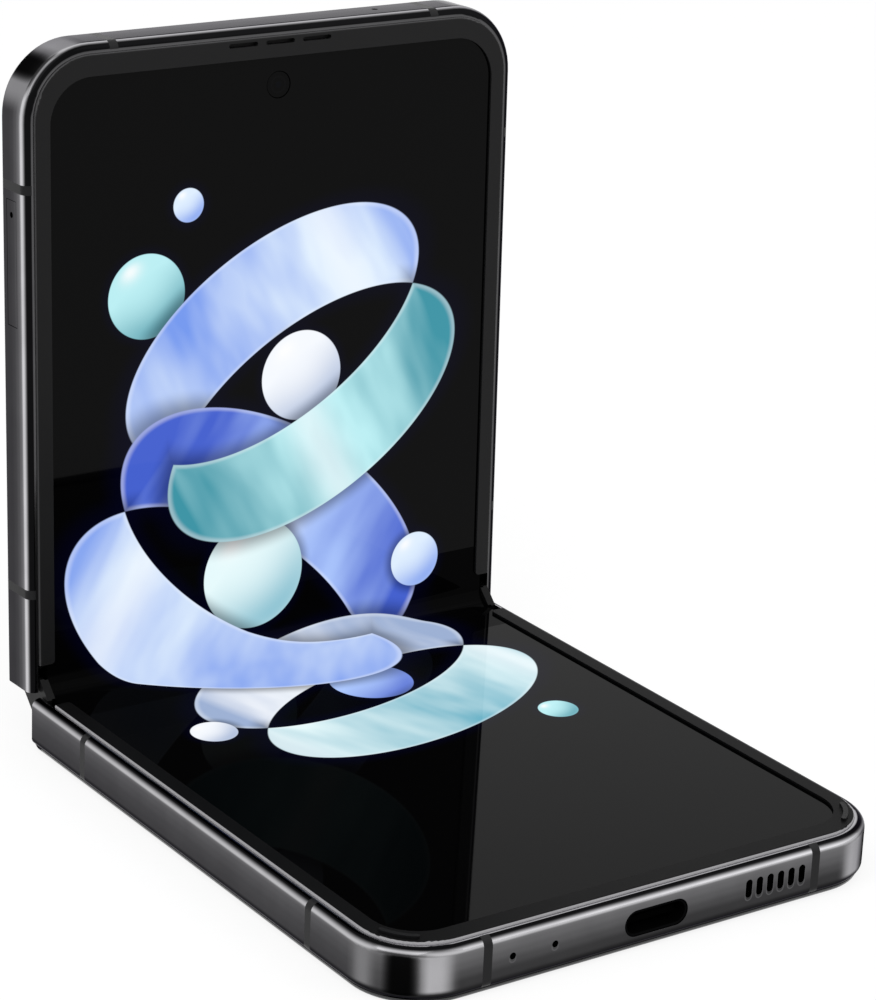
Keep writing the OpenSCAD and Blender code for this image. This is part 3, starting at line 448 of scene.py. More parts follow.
class Dye(Enum):
    """Colours of the picture, as their deep and light ends."""

    TEAL = ((0.05, 0.30, 0.38), (0.50, 0.86, 0.90))
    AQUA = ((0.16, 0.46, 0.58), (0.80, 0.96, 0.98))
    BLUE = ((0.06, 0.12, 0.62), (0.42, 0.58, 1.0))
    SKY = ((0.18, 0.32, 0.86), (0.74, 0.86, 1.0))
    PALE = ((0.34, 0.44, 0.66), (0.92, 0.95, 1.0))


@dataclass(frozen=True)
class Motif:
    """Something in the picture; lengths are in millimetres on the flat screen."""

    middle: Pair
    dye: Dye
    effect: ClassVar[Effect]
    UNDER: ClassVar[Colour] = (0.0, 0.0, 0.01)

    def shape(self) -> dict[str, float]:
        """Return the inputs of the motif's group that give its shape."""
        raise NotImplementedError

    def lay(self, tree: NodeTree, place: Socket, below: Socket) -> Socket:
        """Lay the motif and its shadow over what is already drawn.

        Args:
            tree: The picture's tree.
            place: Place on the flat screen.
            below: Colour of what lies below.

        Returns:
            The new colour.
        """
        deep, light = self.dye.value
        made = self.effect.place(tree, Place=place, Middle=(*self.middle, 0.0), Deep=deep, Light=light,
                                 **self.shape())
        shaded = tree.blend(tree.times(made["Shadow"], 0.6), below, self.UNDER)
        return tree.blend(made["Cover"], shaded, made["Color"])


@dataclass(frozen=True)
class HoopWall(Motif):
    """The near or far wall of a satin hoop."""

    turn: float
    radii: Pair
    height: float
    side: float
    phase: float
    effect: ClassVar[Effect] = HOOP
    SHEEN: ClassVar[float] = 0.5

    def shape(self) -> dict[str, float]:
        """Return the inputs of the hoop's group that give its shape."""
        return {"Turn": math.radians(self.turn), "Long": self.radii[0], "Short": self.radii[1],
                "Height": self.height, "Side": self.side, "Phase": self.phase, "Sheen": self.SHEEN}


@dataclass(frozen=True)
class Pearl(Motif):
    """A round pearl."""

    radius: float
    effect: ClassVar[Effect] = PEARL

    def shape(self) -> dict[str, float]:
        """Return the input of the pearl's group that gives its size."""
        return {"Radius": self.radius}


@dataclass(frozen=True)
class Hoop:
    """A satin hoop with a dye outside and another one inside."""

    middle: Pair
    turn: float
    radii: Pair
    height: float
    outside: Dye
    inside: Dye
    phase: float

    def wall(self, side: float) -> HoopWall:
        """Return the near wall for 1 or the far one for -1."""
        dye = self.outside if side > 0 else self.inside
        return HoopWall(self.middle, dye, self.turn, self.radii, self.height, side, self.phase + side)


HOOPS = (
    Hoop((3.0, 37.0), 28.0, (24.0, 12.5), 13.0, Dye.TEAL, Dye.SKY, 0.5),
    Hoop((-4.0, 10.0), -34.0, (26.0, 13.5), 14.5, Dye.SKY, Dye.BLUE, 2.3),
    Hoop((4.0, -17.0), 16.0, (23.0, 11.5), 12.5, Dye.AQUA, Dye.PALE, 3.6),
)
PICTURE: tuple[Motif, ...] = (
    Pearl((-19.0, 50.0), Dye.TEAL, 5.5),
    *(hoop.wall(-1.0) for hoop in HOOPS),
    Pearl((4.0, 36.5), Dye.PALE, 6.0),
    Pearl((-3.0, 10.5), Dye.AQUA, 7.5),
    Pearl((5.0, -16.0), Dye.BLUE, 5.5),
    *(hoop.wall(1.0) for hoop in HOOPS),
    Pearl((22.5, 8.0), Dye.SKY, 3.8),
    Pearl((-21.0, -20.0), Dye.PALE, 3.0),
    Pearl((-13.0, 61.0), Dye.SKY, 2.2),
    Pearl((21.0, -35.0), Dye.TEAL, 2.6),
)


def wire_picture(tree: Effect, given: Sockets) -> Sockets:
    """Wire the whole picture of hoops and pearls on black.

    Args:
        tree: The group's tree.
        given: Its inputs.

    Returns:
        The picture's Color.
    """
    colour = tree.blend(0.0, JET, JET)
    for motif in PICTURE:
        colour = motif.lay(tree, given["Place"], colour)
    return {"Color": colour}


SCREEN_PICTURE = Effect("screen_picture", {"Place": ORIGIN}, {"Color": "Color"}, wire_picture)


# ---- Finishes ----


END_RUN, RIM_EDGE = (0.75, 0.97), (0.11, 0.04)


def wire_zones(tree: Effect, given: Sockets) -> Sockets:
    """Wire the zones of a half's rim.

    Args:
        tree: The group's tree.
        given: Its inputs.

    Returns:
        Depth from 0 at the back to 1 at the screen, Lean from -1 facing back to 1 facing front, Corner
        from 0 on a straight side to 1 half way round a corner, Past, 1 beyond a corner's middle, and End,
        1 on the free end.
    """
    rise = tree.dot(tree.vector("SUBTRACT", given["Place"], given["Back"]), given["Facing"])
    run = tree.size(tree.dot(given["Normal"], given["Along"]))
    out = tree.size(tree.dot(given["Normal"], ACROSS))
    return {
        "Depth": tree.over(rise, THICK),
        "Lean": tree.dot(given["Normal"], given["Facing"]),
        "Corner": tree.times(run, out, 2.0),
        "Past": tree.math("GREATER_THAN", run, out),
        "End": tree.soft(run, *END_RUN),
    }


ZONES = Effect(
    "rim_zones",
    {name: ORIGIN for name in ("Place", "Normal", "Back", "Facing", "Along")},
    {"Depth": "Float", "Lean": "Float", "Corner": "Float", "Past": "Float", "End": "Float"},
    wire_zones,
)


def zones_of(tree: NodeTree, half: Half) -> Sockets:
    """Return the zones of a half's rim for a material's place."""
    return ZONES.place(tree, Place=tree.here(), Normal=tree.normal(), Back=half.back, Facing=half.facing,
                       Along=half.along)


def flat_place(tree: NodeTree, half: Half) -> tuple[Socket, Socket]:
    """Return a material's place across and along the flat screen, in millimetres."""
    away = tree.vector("SUBTRACT", tree.here(), half.start)
    return tree.dot(away, (TO_MM, 0.0, 0.0)), tree.dot(away, tuple(TO_MM * c for c in half.along))


def wire_rim(tree: Effect, given: Sockets) -> Sockets:
    """Wire the mask of a painted highlight on the cut edge round upright stadium-shaped openings of the free
    end.

    Args:
        tree: The group's tree.
        given: Its inputs, in millimetres except for Place.

    Returns:
        The Rim as a mask.
    """
    grown = tree.vector("MULTIPLY", given["Place"], (TO_MM, TO_MM, TO_MM))
    x, _, z = tree.node("ShaderNodeSeparateXYZ", tree.vector("SUBTRACT", grown, given["Middle"])).outputs
    step = tree.most(tree.least(tree.math("ROUND", tree.over(x, given["Pitch"])), given["Last"]))
    across = tree.minus(x, tree.times(step, given["Pitch"]))
    high = tree.most(tree.minus(tree.size(z), given["Half Height"]))
    off = tree.size(tree.minus(tree.length(across, high), given["Radius"]))
    return {"Rim": tree.soft(off, *RIM_EDGE)}


RIM = Effect(
    "opening_rim",
    {"Place": ORIGIN, "Middle": ORIGIN, "Pitch": 1.0, "Last": 0.0, "Half Height": 0.0, "Radius": 1.0},
    {"Rim": "Float"},
    wire_rim,
)


@dataclass(frozen=True)
class Look:
    """A material of the phone."""

    name: str

    def build(self) -> bpy.types.Material:
        """Make the material.

        Returns:
            The finished material.
        """
        made = bpy.data.materials.new(self.name)
        made.use_nodes = True
        self.wire(NodeTree(made.node_tree), made.node_tree.nodes["Principled BSDF"])
        return made

    def wire(self, tree: NodeTree, shader: bpy.types.Node) -> None:
        """Wire the shader in the material's tree."""
        raise NotImplementedError


@dataclass(frozen=True)
class Finish(Look):
    """A plain finish: colour, gloss and grain."""

    colour: Colour
    rough: Pair
    metallic: float = 0.0
    scale: float = 3000.0
    relief: float = 0.0
    tint: float = 0.12
    specular: float = 0.5
    coat: float = 0.0
    COAT_ROUGHNESS: ClassVar[float] = 0.08
    BUMP: ClassVar[float] = 0.4

    def wire(self, tree: NodeTree, shader: bpy.types.Node) -> None:
        """Wire the material.

        Args:
            tree: The material's tree.
            shader: Its shader.
        """
        grain = GRAIN.place(tree, Place=tree.here(), Scale=self.scale, Low=self.rough[0], High=self.rough[1])
        tree.dress(
            shader, Base_Color=self.tinted(tree, grain["Tint"]), Metallic=self.metallic,
            Roughness=grain["Value"], Specular_IOR_Level=self.specular, Coat_Weight=self.coat,
            Coat_Roughness=self.COAT_ROUGHNESS,
        )
        tree.bump(shader, grain["Height"], self.relief, self.BUMP)

    def tinted(self, tree: NodeTree, cloud: Socket) -> Socket:
        """Vary the colour slowly over the surface.

        Args:
            tree: The material's tree.
            cloud: The grain's Tint.

        Returns:
            The colour's socket.
        """
        dark = tuple(c * (1 - self.tint) for c in self.colour)
        light = tuple(min(1.0, c * (1 + self.tint)) for c in self.colour)
        return tree.blend(tree.spread(cloud, *NOISE_BAND), dark, light)


@dataclass(frozen=True)
class FacedFinish(Finish):
    """A finish whose forward faces have a colour of their own."""

    face_colour: Colour = (0.2, 0.2, 0.2)
    FACING: ClassVar[Pair] = (0.8, 0.95)

    def tinted(self, tree: NodeTree, cloud: Socket) -> Socket:
        """Give the forward faces their colour."""
        share = tree.spread(tree.dot(tree.normal(), FORWARD), *self.FACING)
        return tree.blend(share, super().tinted(tree, cloud), self.face_colour)


@dataclass(frozen=True)
class LensFinish(Finish):
    """Black glass with the faint rings of a camera under it; the iris is its ring's radius in millimetres."""

    middles: tuple[Point, ...] = ()
    iris: float = 1.0
    ring_colour: Colour = (0.0035, 0.0035, 0.004)
    deep_colour: Colour = (0.002, 0.0025, 0.005)
    RING: ClassVar[Pair] = (0.16, 0.06)
    DEEP: ClassVar[Pair] = (0.5, 0.35)

    def tinted(self, tree: NodeTree, cloud: Socket) -> Socket:
        """Draw the rings about the middle of each lens.

        Args:
            tree: The material's tree.
            cloud: The grain's Tint.

        Returns:
            The colour's socket.
        """
        colour = super().tinted(tree, cloud)
        place = tree.here()
        for middle in self.middles:
            away = tree.times(tree.vector("DISTANCE", place, middle), TO_MM / self.iris)
            ring = tree.soft(tree.size(tree.minus(away, 1.0)), *self.RING)
            colour = tree.blend(ring, colour, self.ring_colour)
            colour = tree.blend(tree.soft(away, *self.DEEP), colour, self.deep_colour)
        return colour


@dataclass(frozen=True)
class LitScreen(Look):
    """Glossy black glass with the picture behind it."""

    half: Half | None = None
    specular: float = 0.035
    SMEAR: ClassVar[tuple[Colour, Colour]] = ((0.001, 0.001, 0.0011), (0.0014, 0.0014, 0.0015))
    MIRRORED_LOSS: ClassVar[float] = 0.9

    def wire(self, tree: NodeTree, shader: bpy.types.Node) -> None:
        """Wire the material.

        Args:
            tree: The material's tree.
            shader: Its shader.
        """
        smear = GRAIN.place(tree, Place=tree.here(), Scale=900.0, Low=0.02, High=0.035)
        picture = SCREEN_PICTURE.place(tree, Place=self.flat(tree))
        loss = tree.times(tree.node("ShaderNodeLightPath").outputs["Is Glossy Ray"], self.MIRRORED_LOSS)
        tree.dress(
            shader, Base_Color=tree.blend(smear["Tint"], *self.SMEAR), Roughness=smear["Value"],
            Specular_IOR_Level=self.specular, Emission_Color=tree.blend(loss, picture["Color"], JET),
            Emission_Strength=1.0,
        )

    def flat(self, tree: NodeTree) -> Socket:
        """Find the place on the flat screen, in millimetres.

        Args:
            tree: The material's tree.

        Returns:
            The place as a vector.
        """
        if self.half is None:
            uv = tree.node("ShaderNodeTexCoord").outputs["UV"]
            grown = tree.vector("MULTIPLY", uv, (2 * FLAT_X, 2 * FLAT_Y, 0.0))
            return tree.vector("SUBTRACT", grown, (FLAT_X, FLAT_Y, 0.0))
        return tree.node("ShaderNodeCombineXYZ", *flat_place(tree, self.half)).outputs[0]


@dataclass(frozen=True)
class PaintedGlint:
    """A painted highlight part of the way round a corner, as ranges of the corner mask."""

    rise: Pair
    fall: Pair
    level: float

    def lay(self, tree: NodeTree, corner: Socket, below: Socket) -> Socket:
        """Paint the highlight over a colour, by the corner mask."""
        share = tree.times(tree.soft(corner, *self.rise), tree.soft(corner, *reversed(self.fall)))
        return tree.blend(share, below, grey(self.level))


@dataclass(frozen=True)
class FrameMetal(Look):
    """Polished graphite aluminium whose reflections and shade are painted into its colour: painted shade down
    the side, painted glints and painted black round the corners, a painted highlight on the shoulder over a
    painted black line, and a painted highlight on the ledge.

    Ranges in capitals are of the zone that the name ends with.
    """

    half: Half
    # Painted shade ramps from the back to the screen for the sides and the free end, the painted corner
    # glints, and the depth range of the painted shade at the foot.
    painted_flank: Stops
    end: Stops
    side_painted_glint: PaintedGlint
    end_painted_glint: PaintedGlint
    foot: Pair
    # Lean ranges of the painted black line and of the painted shoulder highlight, and how far the free end
    # shifts them.
    rise: Pair
    fall: Pair
    end_lean: float
    # Levels of the painted highlights on the shoulder and on the ledge.
    shine: float
    ledge: float
    openings: bool = False
    GRAZING: ClassVar[float] = 0.5
    RIM_SHARE: ClassVar[float] = 0.6
    # Ranges of the painted black round the corners, of the shoulder highlight's fade at corners, of the walls
    # where the metallic drops, and of the painted ledge highlight and painted underside shade.
    PAINTED_DARK_CORNER: ClassVar[tuple[float, ...]] = (0.86, 0.985, 0.0, 0.97)
    SHINE_CORNER: ClassVar[tuple[float, ...]] = (0.9, 0.5, 0.06, 1.0)
    WALL_LEAN: ClassVar[Pair] = (0.9, 0.6)
    LEDGE_LEAN: ClassVar[Pair] = (0.985, 0.998)
    UNDERSIDE_LEAN: ClassVar[Pair] = (-0.2, -0.6)
    # Colours of the painted black in the corners, the painted shade at the foot, the painted highlight on the
    # opening rims, the painted black line above the shoulder and the painted shade on the underside.
    PAINTED_CORNER_BLACK: ClassVar[Colour] = grey(0.002)
    PAINTED_FOOT_SHADE: ClassVar[Colour] = grey(0.018)
    PAINTED_RIM_HIGHLIGHT: ClassVar[Colour] = grey(0.13)
    PAINTED_BLACK_LINE: ClassVar[Colour] = (0.006, 0.006, 0.0065)
    PAINTED_UNDERSIDE_SHADE: ClassVar[Colour] = (0.008, 0.008, 0.009)

    def wire(self, tree: NodeTree, shader: bpy.types.Node) -> None:
        """Wire the material.

        Args:
            tree: The material's tree.
            shader: Its shader.
        """
        zones = zones_of(tree, self.half)
        grain = GRAIN.place(tree, Place=tree.here(), Scale=6000.0, Low=0.12, High=0.17)
        side = self.side(tree, zones)
        if self.openings:
            side = self.with_rims(tree, side)
        # Mask of the painted black reflection half way round each corner; the same mask also lowers the
        # metallic there.
        dark = tree.soft(zones["Corner"], *self.PAINTED_DARK_CORNER)
        up = tree.soft(tree.math("MULTIPLY_ADD", zones["End"], -self.end_lean, zones["Lean"]), *self.rise)
        down = tree.soft(zones["Lean"], *reversed(self.fall))
        straight = tree.soft(zones["Corner"], *self.SHINE_CORNER)
        # Paint the black reflection into the corners.
        colour = tree.blend(dark, side, self.PAINTED_CORNER_BLACK)
        # Lay on in turn: a painted black line where the rim leans up, a painted highlight on the shoulder, a
        # painted highlight on the ledge, painted shade on the underside, and random dark mottle from the
        # grain.
        for share, above in (
            (up, self.PAINTED_BLACK_LINE),
            (tree.times(up, down, straight), grey(self.shine)),
            (tree.soft(zones["Lean"], *self.LEDGE_LEAN), grey(self.ledge)),
            (tree.soft(zones["Lean"], *self.UNDERSIDE_LEAN), self.PAINTED_UNDERSIDE_SHADE),
            (tree.spread(grain["Tint"], *NOISE_BAND, 0.0, 0.1), JET),
        ):
            colour = tree.blend(share, colour, above)
        walls = tree.soft(zones["Lean"], *self.WALL_LEAN)
        tree.dress(
            shader, Base_Color=colour, Metallic=tree.minus(1.0, tree.times(dark, walls)),
            Roughness=grain["Value"], Specular_IOR_Level=0.0, Specular_Tint=grey(self.GRAZING),
        )
        tree.bump(shader, grain["Height"], 0.000002, 0.3)

    def side(self, tree: NodeTree, zones: Sockets) -> Socket:
        """Paint shade and glints on the flat sides, the free end and the corners between them, and painted
        shade at the foot.

        Args:
            tree: The material's tree.
            zones: Outputs of the zone group.

        Returns:
            The colour's socket.
        """
        # Painted shade that changes from the back to the screen, one ramp for the sides and one for the free
        # end.
        painted_flank, end = (tree.ramp(zones["Depth"], stops) for stops in (self.painted_flank, self.end))
        plain = tree.blend(zones["End"], painted_flank, end)
        # Painted glints on each side of a corner's middle.
        near, far = (painted_glint.lay(tree, zones["Corner"], plain) for painted_glint in (self.side_painted_glint, self.end_painted_glint))
        both = tree.blend(zones["Past"], near, far)
        # Painted shade along the foot of the side.
        return tree.blend(tree.soft(zones["Depth"], *self.foot), self.PAINTED_FOOT_SHADE, both)

    def with_rims(self, tree: NodeTree, side: Socket) -> Socket:
        """Paint a highlight on the cut edges of the openings in the free end.

        Args:
            tree: The material's tree.
            side: Colour of the side.

        Returns:
            The colour's socket.
        """
        rim: Value = 0.0
        for hole in OPENINGS:
            made = RIM.place(tree, Place=tree.here(), Middle=(hole.x, 0.0, hole.z), Pitch=hole.pitch,
                             Last=hole.last, Half_Height=hole.half_height, Radius=hole.radius)
            rim = tree.most(rim, made["Rim"])
        front = tree.spread(tree.dot(tree.normal(), FORWARD), 0.85, 0.95)
        return tree.blend(tree.times(rim, front, self.RIM_SHARE), side, self.PAINTED_RIM_HIGHLIGHT)


@dataclass(frozen=True)
class BorderPlastic(Look):
    """Matte moulded border with a glossier outer edge that carries a painted highlight."""

    half: Half
    level: float
    edge: float
    specular: float
    VARIATION: ClassVar[Pair] = (0.85, 1.15)
    EDGE_BAND: ClassVar[float] = 0.45
    EDGE_LEAN: ClassVar[Pair] = (0.9, 0.7)
    EDGE_DEPTH: ClassVar[Pair] = (0.985, 1.0)

    def wire(self, tree: NodeTree, shader: bpy.types.Node) -> None:
        """Wire the material.

        Args:
            tree: The material's tree.
            shader: Its shader.
        """
        zones = zones_of(tree, self.half)
        grain = GRAIN.place(tree, Place=tree.here(), Scale=5000.0, Low=0.4, High=0.48)
        high = tree.spread(zones["Depth"], *self.EDGE_DEPTH)
        # Painted highlight on the outer edge near the top of the wall.
        outer = tree.times(tree.soft(zones["Lean"], *self.EDGE_LEAN), high, self.outer(tree))
        plain = tree.blend(grain["Tint"], *(grey(self.level * share) for share in self.VARIATION))
        tree.dress(
            shader, Base_Color=tree.blend(outer, plain, grey(self.edge)), Specular_IOR_Level=self.specular,
            Roughness=tree.minus(grain["Value"], tree.times(outer, 0.2)),
        )
        tree.bump(shader, grain["Height"], 0.00002, 0.3)

    def outer(self, tree: NodeTree) -> Socket:
        """Tell the border's outer edge, which carries the painted highlight, from its inner one.

        Args:
            tree: The material's tree.

        Returns:
            1 near the outer edge and 0 elsewhere.
        """
        across, run = (tree.size(place) for place in flat_place(tree, self.half))
        wide = tree.most(tree.minus(across, HALF_WIDTH - CORNER))
        long = tree.most(tree.minus(run, HALF_LENGTH - CORNER))
        return tree.math("GREATER_THAN", tree.length(wide, long), CORNER - BORDER_IN - self.EDGE_BAND)


@dataclass(frozen=True)
class Paper(Look):
    """Paper that shows as pure white apart from soft shadows."""

    levels: Pair = (0.23, 0.25)
    mottle: float = 400.0
    glow: float = 0.84

    def wire(self, tree: NodeTree, shader: bpy.types.Node) -> None:
        """Wire the shader in the material's tree."""
        glow = tree.times(white_share(tree), self.glow)
        tree.dress(
            shader, Base_Color=tree.blend(tree.noise(tree.here(), self.mottle), *self.levels), Roughness=1.0,
            Specular_IOR_Level=0.0, Emission_Color=WHITE, Emission_Strength=glow,
        )


def white_share(tree: NodeTree) -> Socket:
    """Return 1 for rays that see the backdrop and 0 for those that only light the object."""
    path = tree.node("ShaderNodeLightPath").outputs
    return tree.most(tree.most(path["Is Camera Ray"], path["Is Glossy Ray"]), path["Is Transmission Ray"])


@dataclass(frozen=True)
class Opening:
    """A row of openings in the free end, in millimetres; the last is counted from 0."""

    x: float
    radius: float
    half_height: float = 0.0
    pitch: float = 99.0
    last: float = 0.0
    z: float = 3.55


def lens_middles() -> tuple[Point, Point]:
    """Find the middles of the two rear lenses.

    Returns:
        The middles, on the lenses' outer faces.
    """
    low, high = (Vector(corner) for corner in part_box("camera_lenses"))
    radius = (high.x - low.x) / 2
    return tuple((low.x + radius, high.y, height) for height in (low.z + radius, high.z - radius))


def front_lens_middle() -> Point:
    """Find the middle of the front camera's lens, 75 mm along the upper half."""
    return tuple(s + 0.075 * a for s, a in zip(Half.UPPER.start, Half.UPPER.along))


# Half the span of the UV square, then half the outline of the phone when flat, in millimetres.
FLAT_X, FLAT_Y = 36.0, 84.0
HALF_WIDTH, HALF_LENGTH, CORNER, BORDER_IN = 35.95, 82.6, 9.1, 1.32
OPENINGS = (Opening(13.5, 0.475, 0.675, 1.59, 5.0), Opening(-20.1, 0.42), Opening(-14.3, 0.42))

# Lit and shaded copies of one metal: each half gets its own painted shade ramps, painted glints, painted
# highlights and painted shade at the foot, to match how the light falls on it.
LOWER_METAL = FrameMetal(
    "graphite_metal_lower", Half.LOWER,
    painted_flank=((0.0, 0.06), (0.3, 0.062), (0.5, 0.073), (0.65, 0.09), (0.78, 0.11), (0.88, 0.15)),
    end=((0.0, 0.032), (0.36, 0.042), (0.5, 0.07), (0.65, 0.105), (0.78, 0.135), (0.88, 0.16)),
    side_painted_glint=PaintedGlint((0.05, 0.5), (0.55, 0.86), 0.2), end_painted_glint=PaintedGlint((0.1, 0.58), (0.74, 0.97), 0.42),
    foot=(0.2, 0.28), rise=(0.1, 0.36), fall=(0.42, 0.86), end_lean=0.0, shine=0.52, ledge=0.55,
    openings=True,
)
UPPER_METAL = FrameMetal(
    "graphite_metal_upper", Half.UPPER,
    painted_flank=((0.0, 0.056), (0.42, 0.052), (0.55, 0.065), (0.68, 0.1), (0.77, 0.16), (0.86, 0.34)),
    end=((0.0, 0.26), (0.3, 0.17), (0.6, 0.075), (0.85, 0.015)),
    side_painted_glint=PaintedGlint((0.2, 0.76), (0.84, 0.98), 0.26), end_painted_glint=PaintedGlint((0.05, 0.4), (0.7, 0.97), 0.36),
    foot=(-2.0, -1.0), rise=(0.01, 0.14), fall=(0.3, 0.72), end_lean=0.2, shine=0.62, ledge=0.09,
)
KEY_METAL = Finish("graphite_key_metal", grey(0.034), (0.12, 0.17), 1.0, 6000.0, 0.000002, 0.08)
SPINE_METAL = Finish("spine_satin_metal", grey(0.06), (0.24, 0.32), 1.0, 6000.0, 0.000004, 0.06)
CAP = Finish("spine_cap_metal", grey(0.005), (0.34, 0.42), 0.3, 6000.0, 0.000004, 0.08, 0.12)
RING_METAL = Finish("turned_ring_metal", grey(0.12), (0.14, 0.2), 1.0, 5000.0, 0.000004, 0.05)
# Lit and shaded copies of one border: the halves differ in their painted level and in the painted highlight
# on the outer edge.
LOWER_BORDER = BorderPlastic("matte_border_lower", Half.LOWER, 0.0055, 0.5, 0.035)
UPPER_BORDER = BorderPlastic("matte_border_upper", Half.UPPER, 0.0115, 0.075, 0.15)
BUMPER = Finish("soft_bumper", (0.008, 0.008, 0.0085), (0.34, 0.42), 0.0, 4000.0, 0.00002, 0.1, 0.1)
BAND = Finish("band_plastic", (0.013, 0.013, 0.014), (0.35, 0.42), 0.0, 5000.0, 0.00001, 0.08, 0.15)
BACK = Finish("satin_back_glass", (0.014, 0.014, 0.016), (0.24, 0.3), 0.0, 7000.0, 0.000002, 0.06, 0.5, 0.3)
COVER = Finish("gloss_cover_glass", (0.004, 0.004, 0.005), (0.03, 0.05), 0.0, 900.0, 0.0, 0.05, 0.4)
BLACK = Finish("moulded_black", (0.01, 0.01, 0.011), (0.4, 0.5), 0.0, 3500.0, 0.00002, 0.1, 0.3)
TONGUE = Finish("tongue_black", (0.002, 0.002, 0.002), (0.5, 0.6), 0.0, 3500.0, 0.00002, 0.1, 0.0)
STEEL = Finish("pressed_steel", (0.5, 0.5, 0.51), (0.28, 0.36), 1.0, 3000.0, 0.00001, 0.06)
DARK_MESH = Finish("blackened_mesh", (0.01, 0.01, 0.01), (0.5, 0.6), 0.2, 9000.0, 0.00006, 0.3, 0.15)
BRONZE = Finish("spring_bronze", (0.62, 0.42, 0.2), (0.25, 0.34), 1.0, 3000.0, 0.00001, 0.08)
COPPER = Finish("wound_copper", (0.66, 0.32, 0.17), (0.3, 0.4), 1.0, 3000.0, 0.00002, 0.1)
BOARD = Finish("solder_mask", (0.02, 0.09, 0.05), (0.28, 0.36), 0.0, 1500.0, 0.00004, 0.25)
FOIL = Finish("cell_foil", (0.14, 0.14, 0.15), (0.3, 0.45), 0.3, 900.0, 0.00008, 0.1)
FILM = Finish("amber_film", (0.42, 0.22, 0.06), (0.2, 0.3), 0.0, 2500.0, 0.00002, 0.12)
FIBRE = Finish("nylon_fibre", (0.015, 0.015, 0.015), (0.8, 0.9), 0.0, 9000.0, 0.0001, 0.3)
LENS = LensFinish("coated_lens", (0.003, 0.0035, 0.006), (0.02, 0.03), 0.0, 900.0, 0.0, 0.1, 0.5, 0.4,
                  middles=lens_middles(), iris=2.9, ring_colour=(0.035, 0.035, 0.04),
                  deep_colour=(0.004, 0.01, 0.03))
DIFFUSER = Finish("lamp_diffuser", (0.8, 0.74, 0.5), (0.3, 0.4), 0.0, 2500.0, 0.00004, 0.05, 0.5, 0.4)
# Painted shade: the port's steel is near black so that its inside reads as shade, and its forward faces are
# painted a little lighter as a highlight on its rim.
PORT = FacedFinish("drawn_port_steel", (0.002, 0.002, 0.002), (0.5, 0.6), 0.0, 3000.0, 0.00001, 0.06, 0.0,
                   face_colour=(0.006, 0.006, 0.0065))
SELFIE = LensFinish("front_lens_glass", (0.0016, 0.0016, 0.0018), (0.03, 0.05), 0.0, 900.0, 0.0, 0.05, 0.06,
                    middles=(front_lens_middle(),))
DARK_SCREEN = Finish("dark_screen", (0.002, 0.002, 0.0022), (0.03, 0.04), 0.0, 900.0, 0.0, 0.05, 0.08)
LOWER_SCREEN = LitScreen("lit_screen_lower", Half.LOWER)
UPPER_SCREEN = LitScreen("lit_screen_upper", Half.UPPER, 0.068)
FOLD_SCREEN = LitScreen("lit_screen_fold", specular=0.015)
FLOOR_PAPER = Paper("floor_paper")


def material_of(finish: Look) -> bpy.types.Material:
    """Return a finish's material, made on its first use."""
    return bpy.data.materials.get(finish.name) or finish.build()


# ---- Sub-assemblies ----


@dataclass
class SubAssembly:
    """CAD nodes that belong together, with the finish of each."""

    title: str
    finishes: dict[str, Look]

    def build(self) -> None:
        """Dress every node and report it."""
        for node, finish in self.finishes.items():
            self.put_on(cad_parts[node], material_of(finish))
            LOG.info("%s: %s in %s", self.title, node, finish.name)

    @staticmethod
    def put_on(obj: bpy.types.Object, material: bpy.types.Material) -> None:
        """Give an object one material.

        Args:
            obj: The object.
            material: The material.
        """
        if not obj.material_slots:
            obj.data.materials.append(material)
        for slot in obj.material_slots:
            slot.material = material


@dataclass
class LowerHalf(SubAssembly):
    """The half that lies on the table, with the port, the loudspeaker and a battery cell."""

    title: str = "lower half"
    finishes: dict[str, Look] = field(default_factory=lambda: {
        "lower_frame": LOWER_METAL, "lower_antenna_bands": BAND, "lower_back_glass": BACK,
        "lower_border": LOWER_BORDER, "lower_bumpers": BUMPER, "lower_screen": LOWER_SCREEN,
        "lower_battery": FOIL, "lower_board": BOARD, "lower_magnets": STEEL,
        "lower_wing_plate": STEEL, "lower_hinge_arms": STEEL, "lower_hinge_screws": STEEL,
        "usb_port": PORT, "usb_tongue": TONGUE, "loudspeaker": BLACK, "speaker_mesh": DARK_MESH,
        "lower_microphones": STEEL, "vibration_motor": STEEL, "charging_coil": COPPER,
    })


@dataclass
class UpperHalf(SubAssembly):
    """The half that stands up, with the cameras, the keys and the card tray."""

    title: str = "upper half"
    finishes: dict[str, Look] = field(default_factory=lambda: {
        "upper_frame": UPPER_METAL, "upper_antenna_bands": BAND, "upper_back_glass": BACK,
        "upper_border": UPPER_BORDER, "upper_screen": UPPER_SCREEN, "upper_battery": FOIL,
        "main_board": BOARD, "board_shields": STEEL, "upper_magnets": STEEL,
        "upper_wing_plate": STEEL, "upper_hinge_arms": STEEL, "upper_hinge_screws": STEEL,
        "cover_window": COVER, "cover_screen": DARK_SCREEN, "camera_rings": RING_METAL, "camera_lenses": LENS,
        "camera_modules": BLACK, "flash_led": DIFFUSER, "front_camera": SELFIE, "earpiece": BLACK,
        "earpiece_mesh": DARK_MESH, "upper_microphone": STEEL, "card_reader": STEEL, "key_switches": BRONZE,
        "side_key": KEY_METAL, "volume_key": KEY_METAL, "card_tray": UPPER_METAL,
    })


@dataclass
class Hinge(SubAssembly):
    """The spine with its geared arms, and the flexible parts that cross it."""

    title: str = "hinge"
    finishes: dict[str, Look] = field(default_factory=lambda: {
        "spine_cover": SPINE_METAL, "spine_end_caps": CAP, "hinge_bases": STEEL, "friction_clips": BRONZE,
        "dust_brushes": FIBRE, "hinge_flex": FILM, "folding_screen": FOLD_SCREEN,
        "lower_outer_pinions": BRONZE, "lower_inner_pinions": BRONZE,
        "upper_inner_pinions": BRONZE, "upper_outer_pinions": BRONZE,
    })


# The y and z of the front, the y and z of the back, and the distance from the crease when flat.
SheetRow = tuple[float, float, float, float, float]


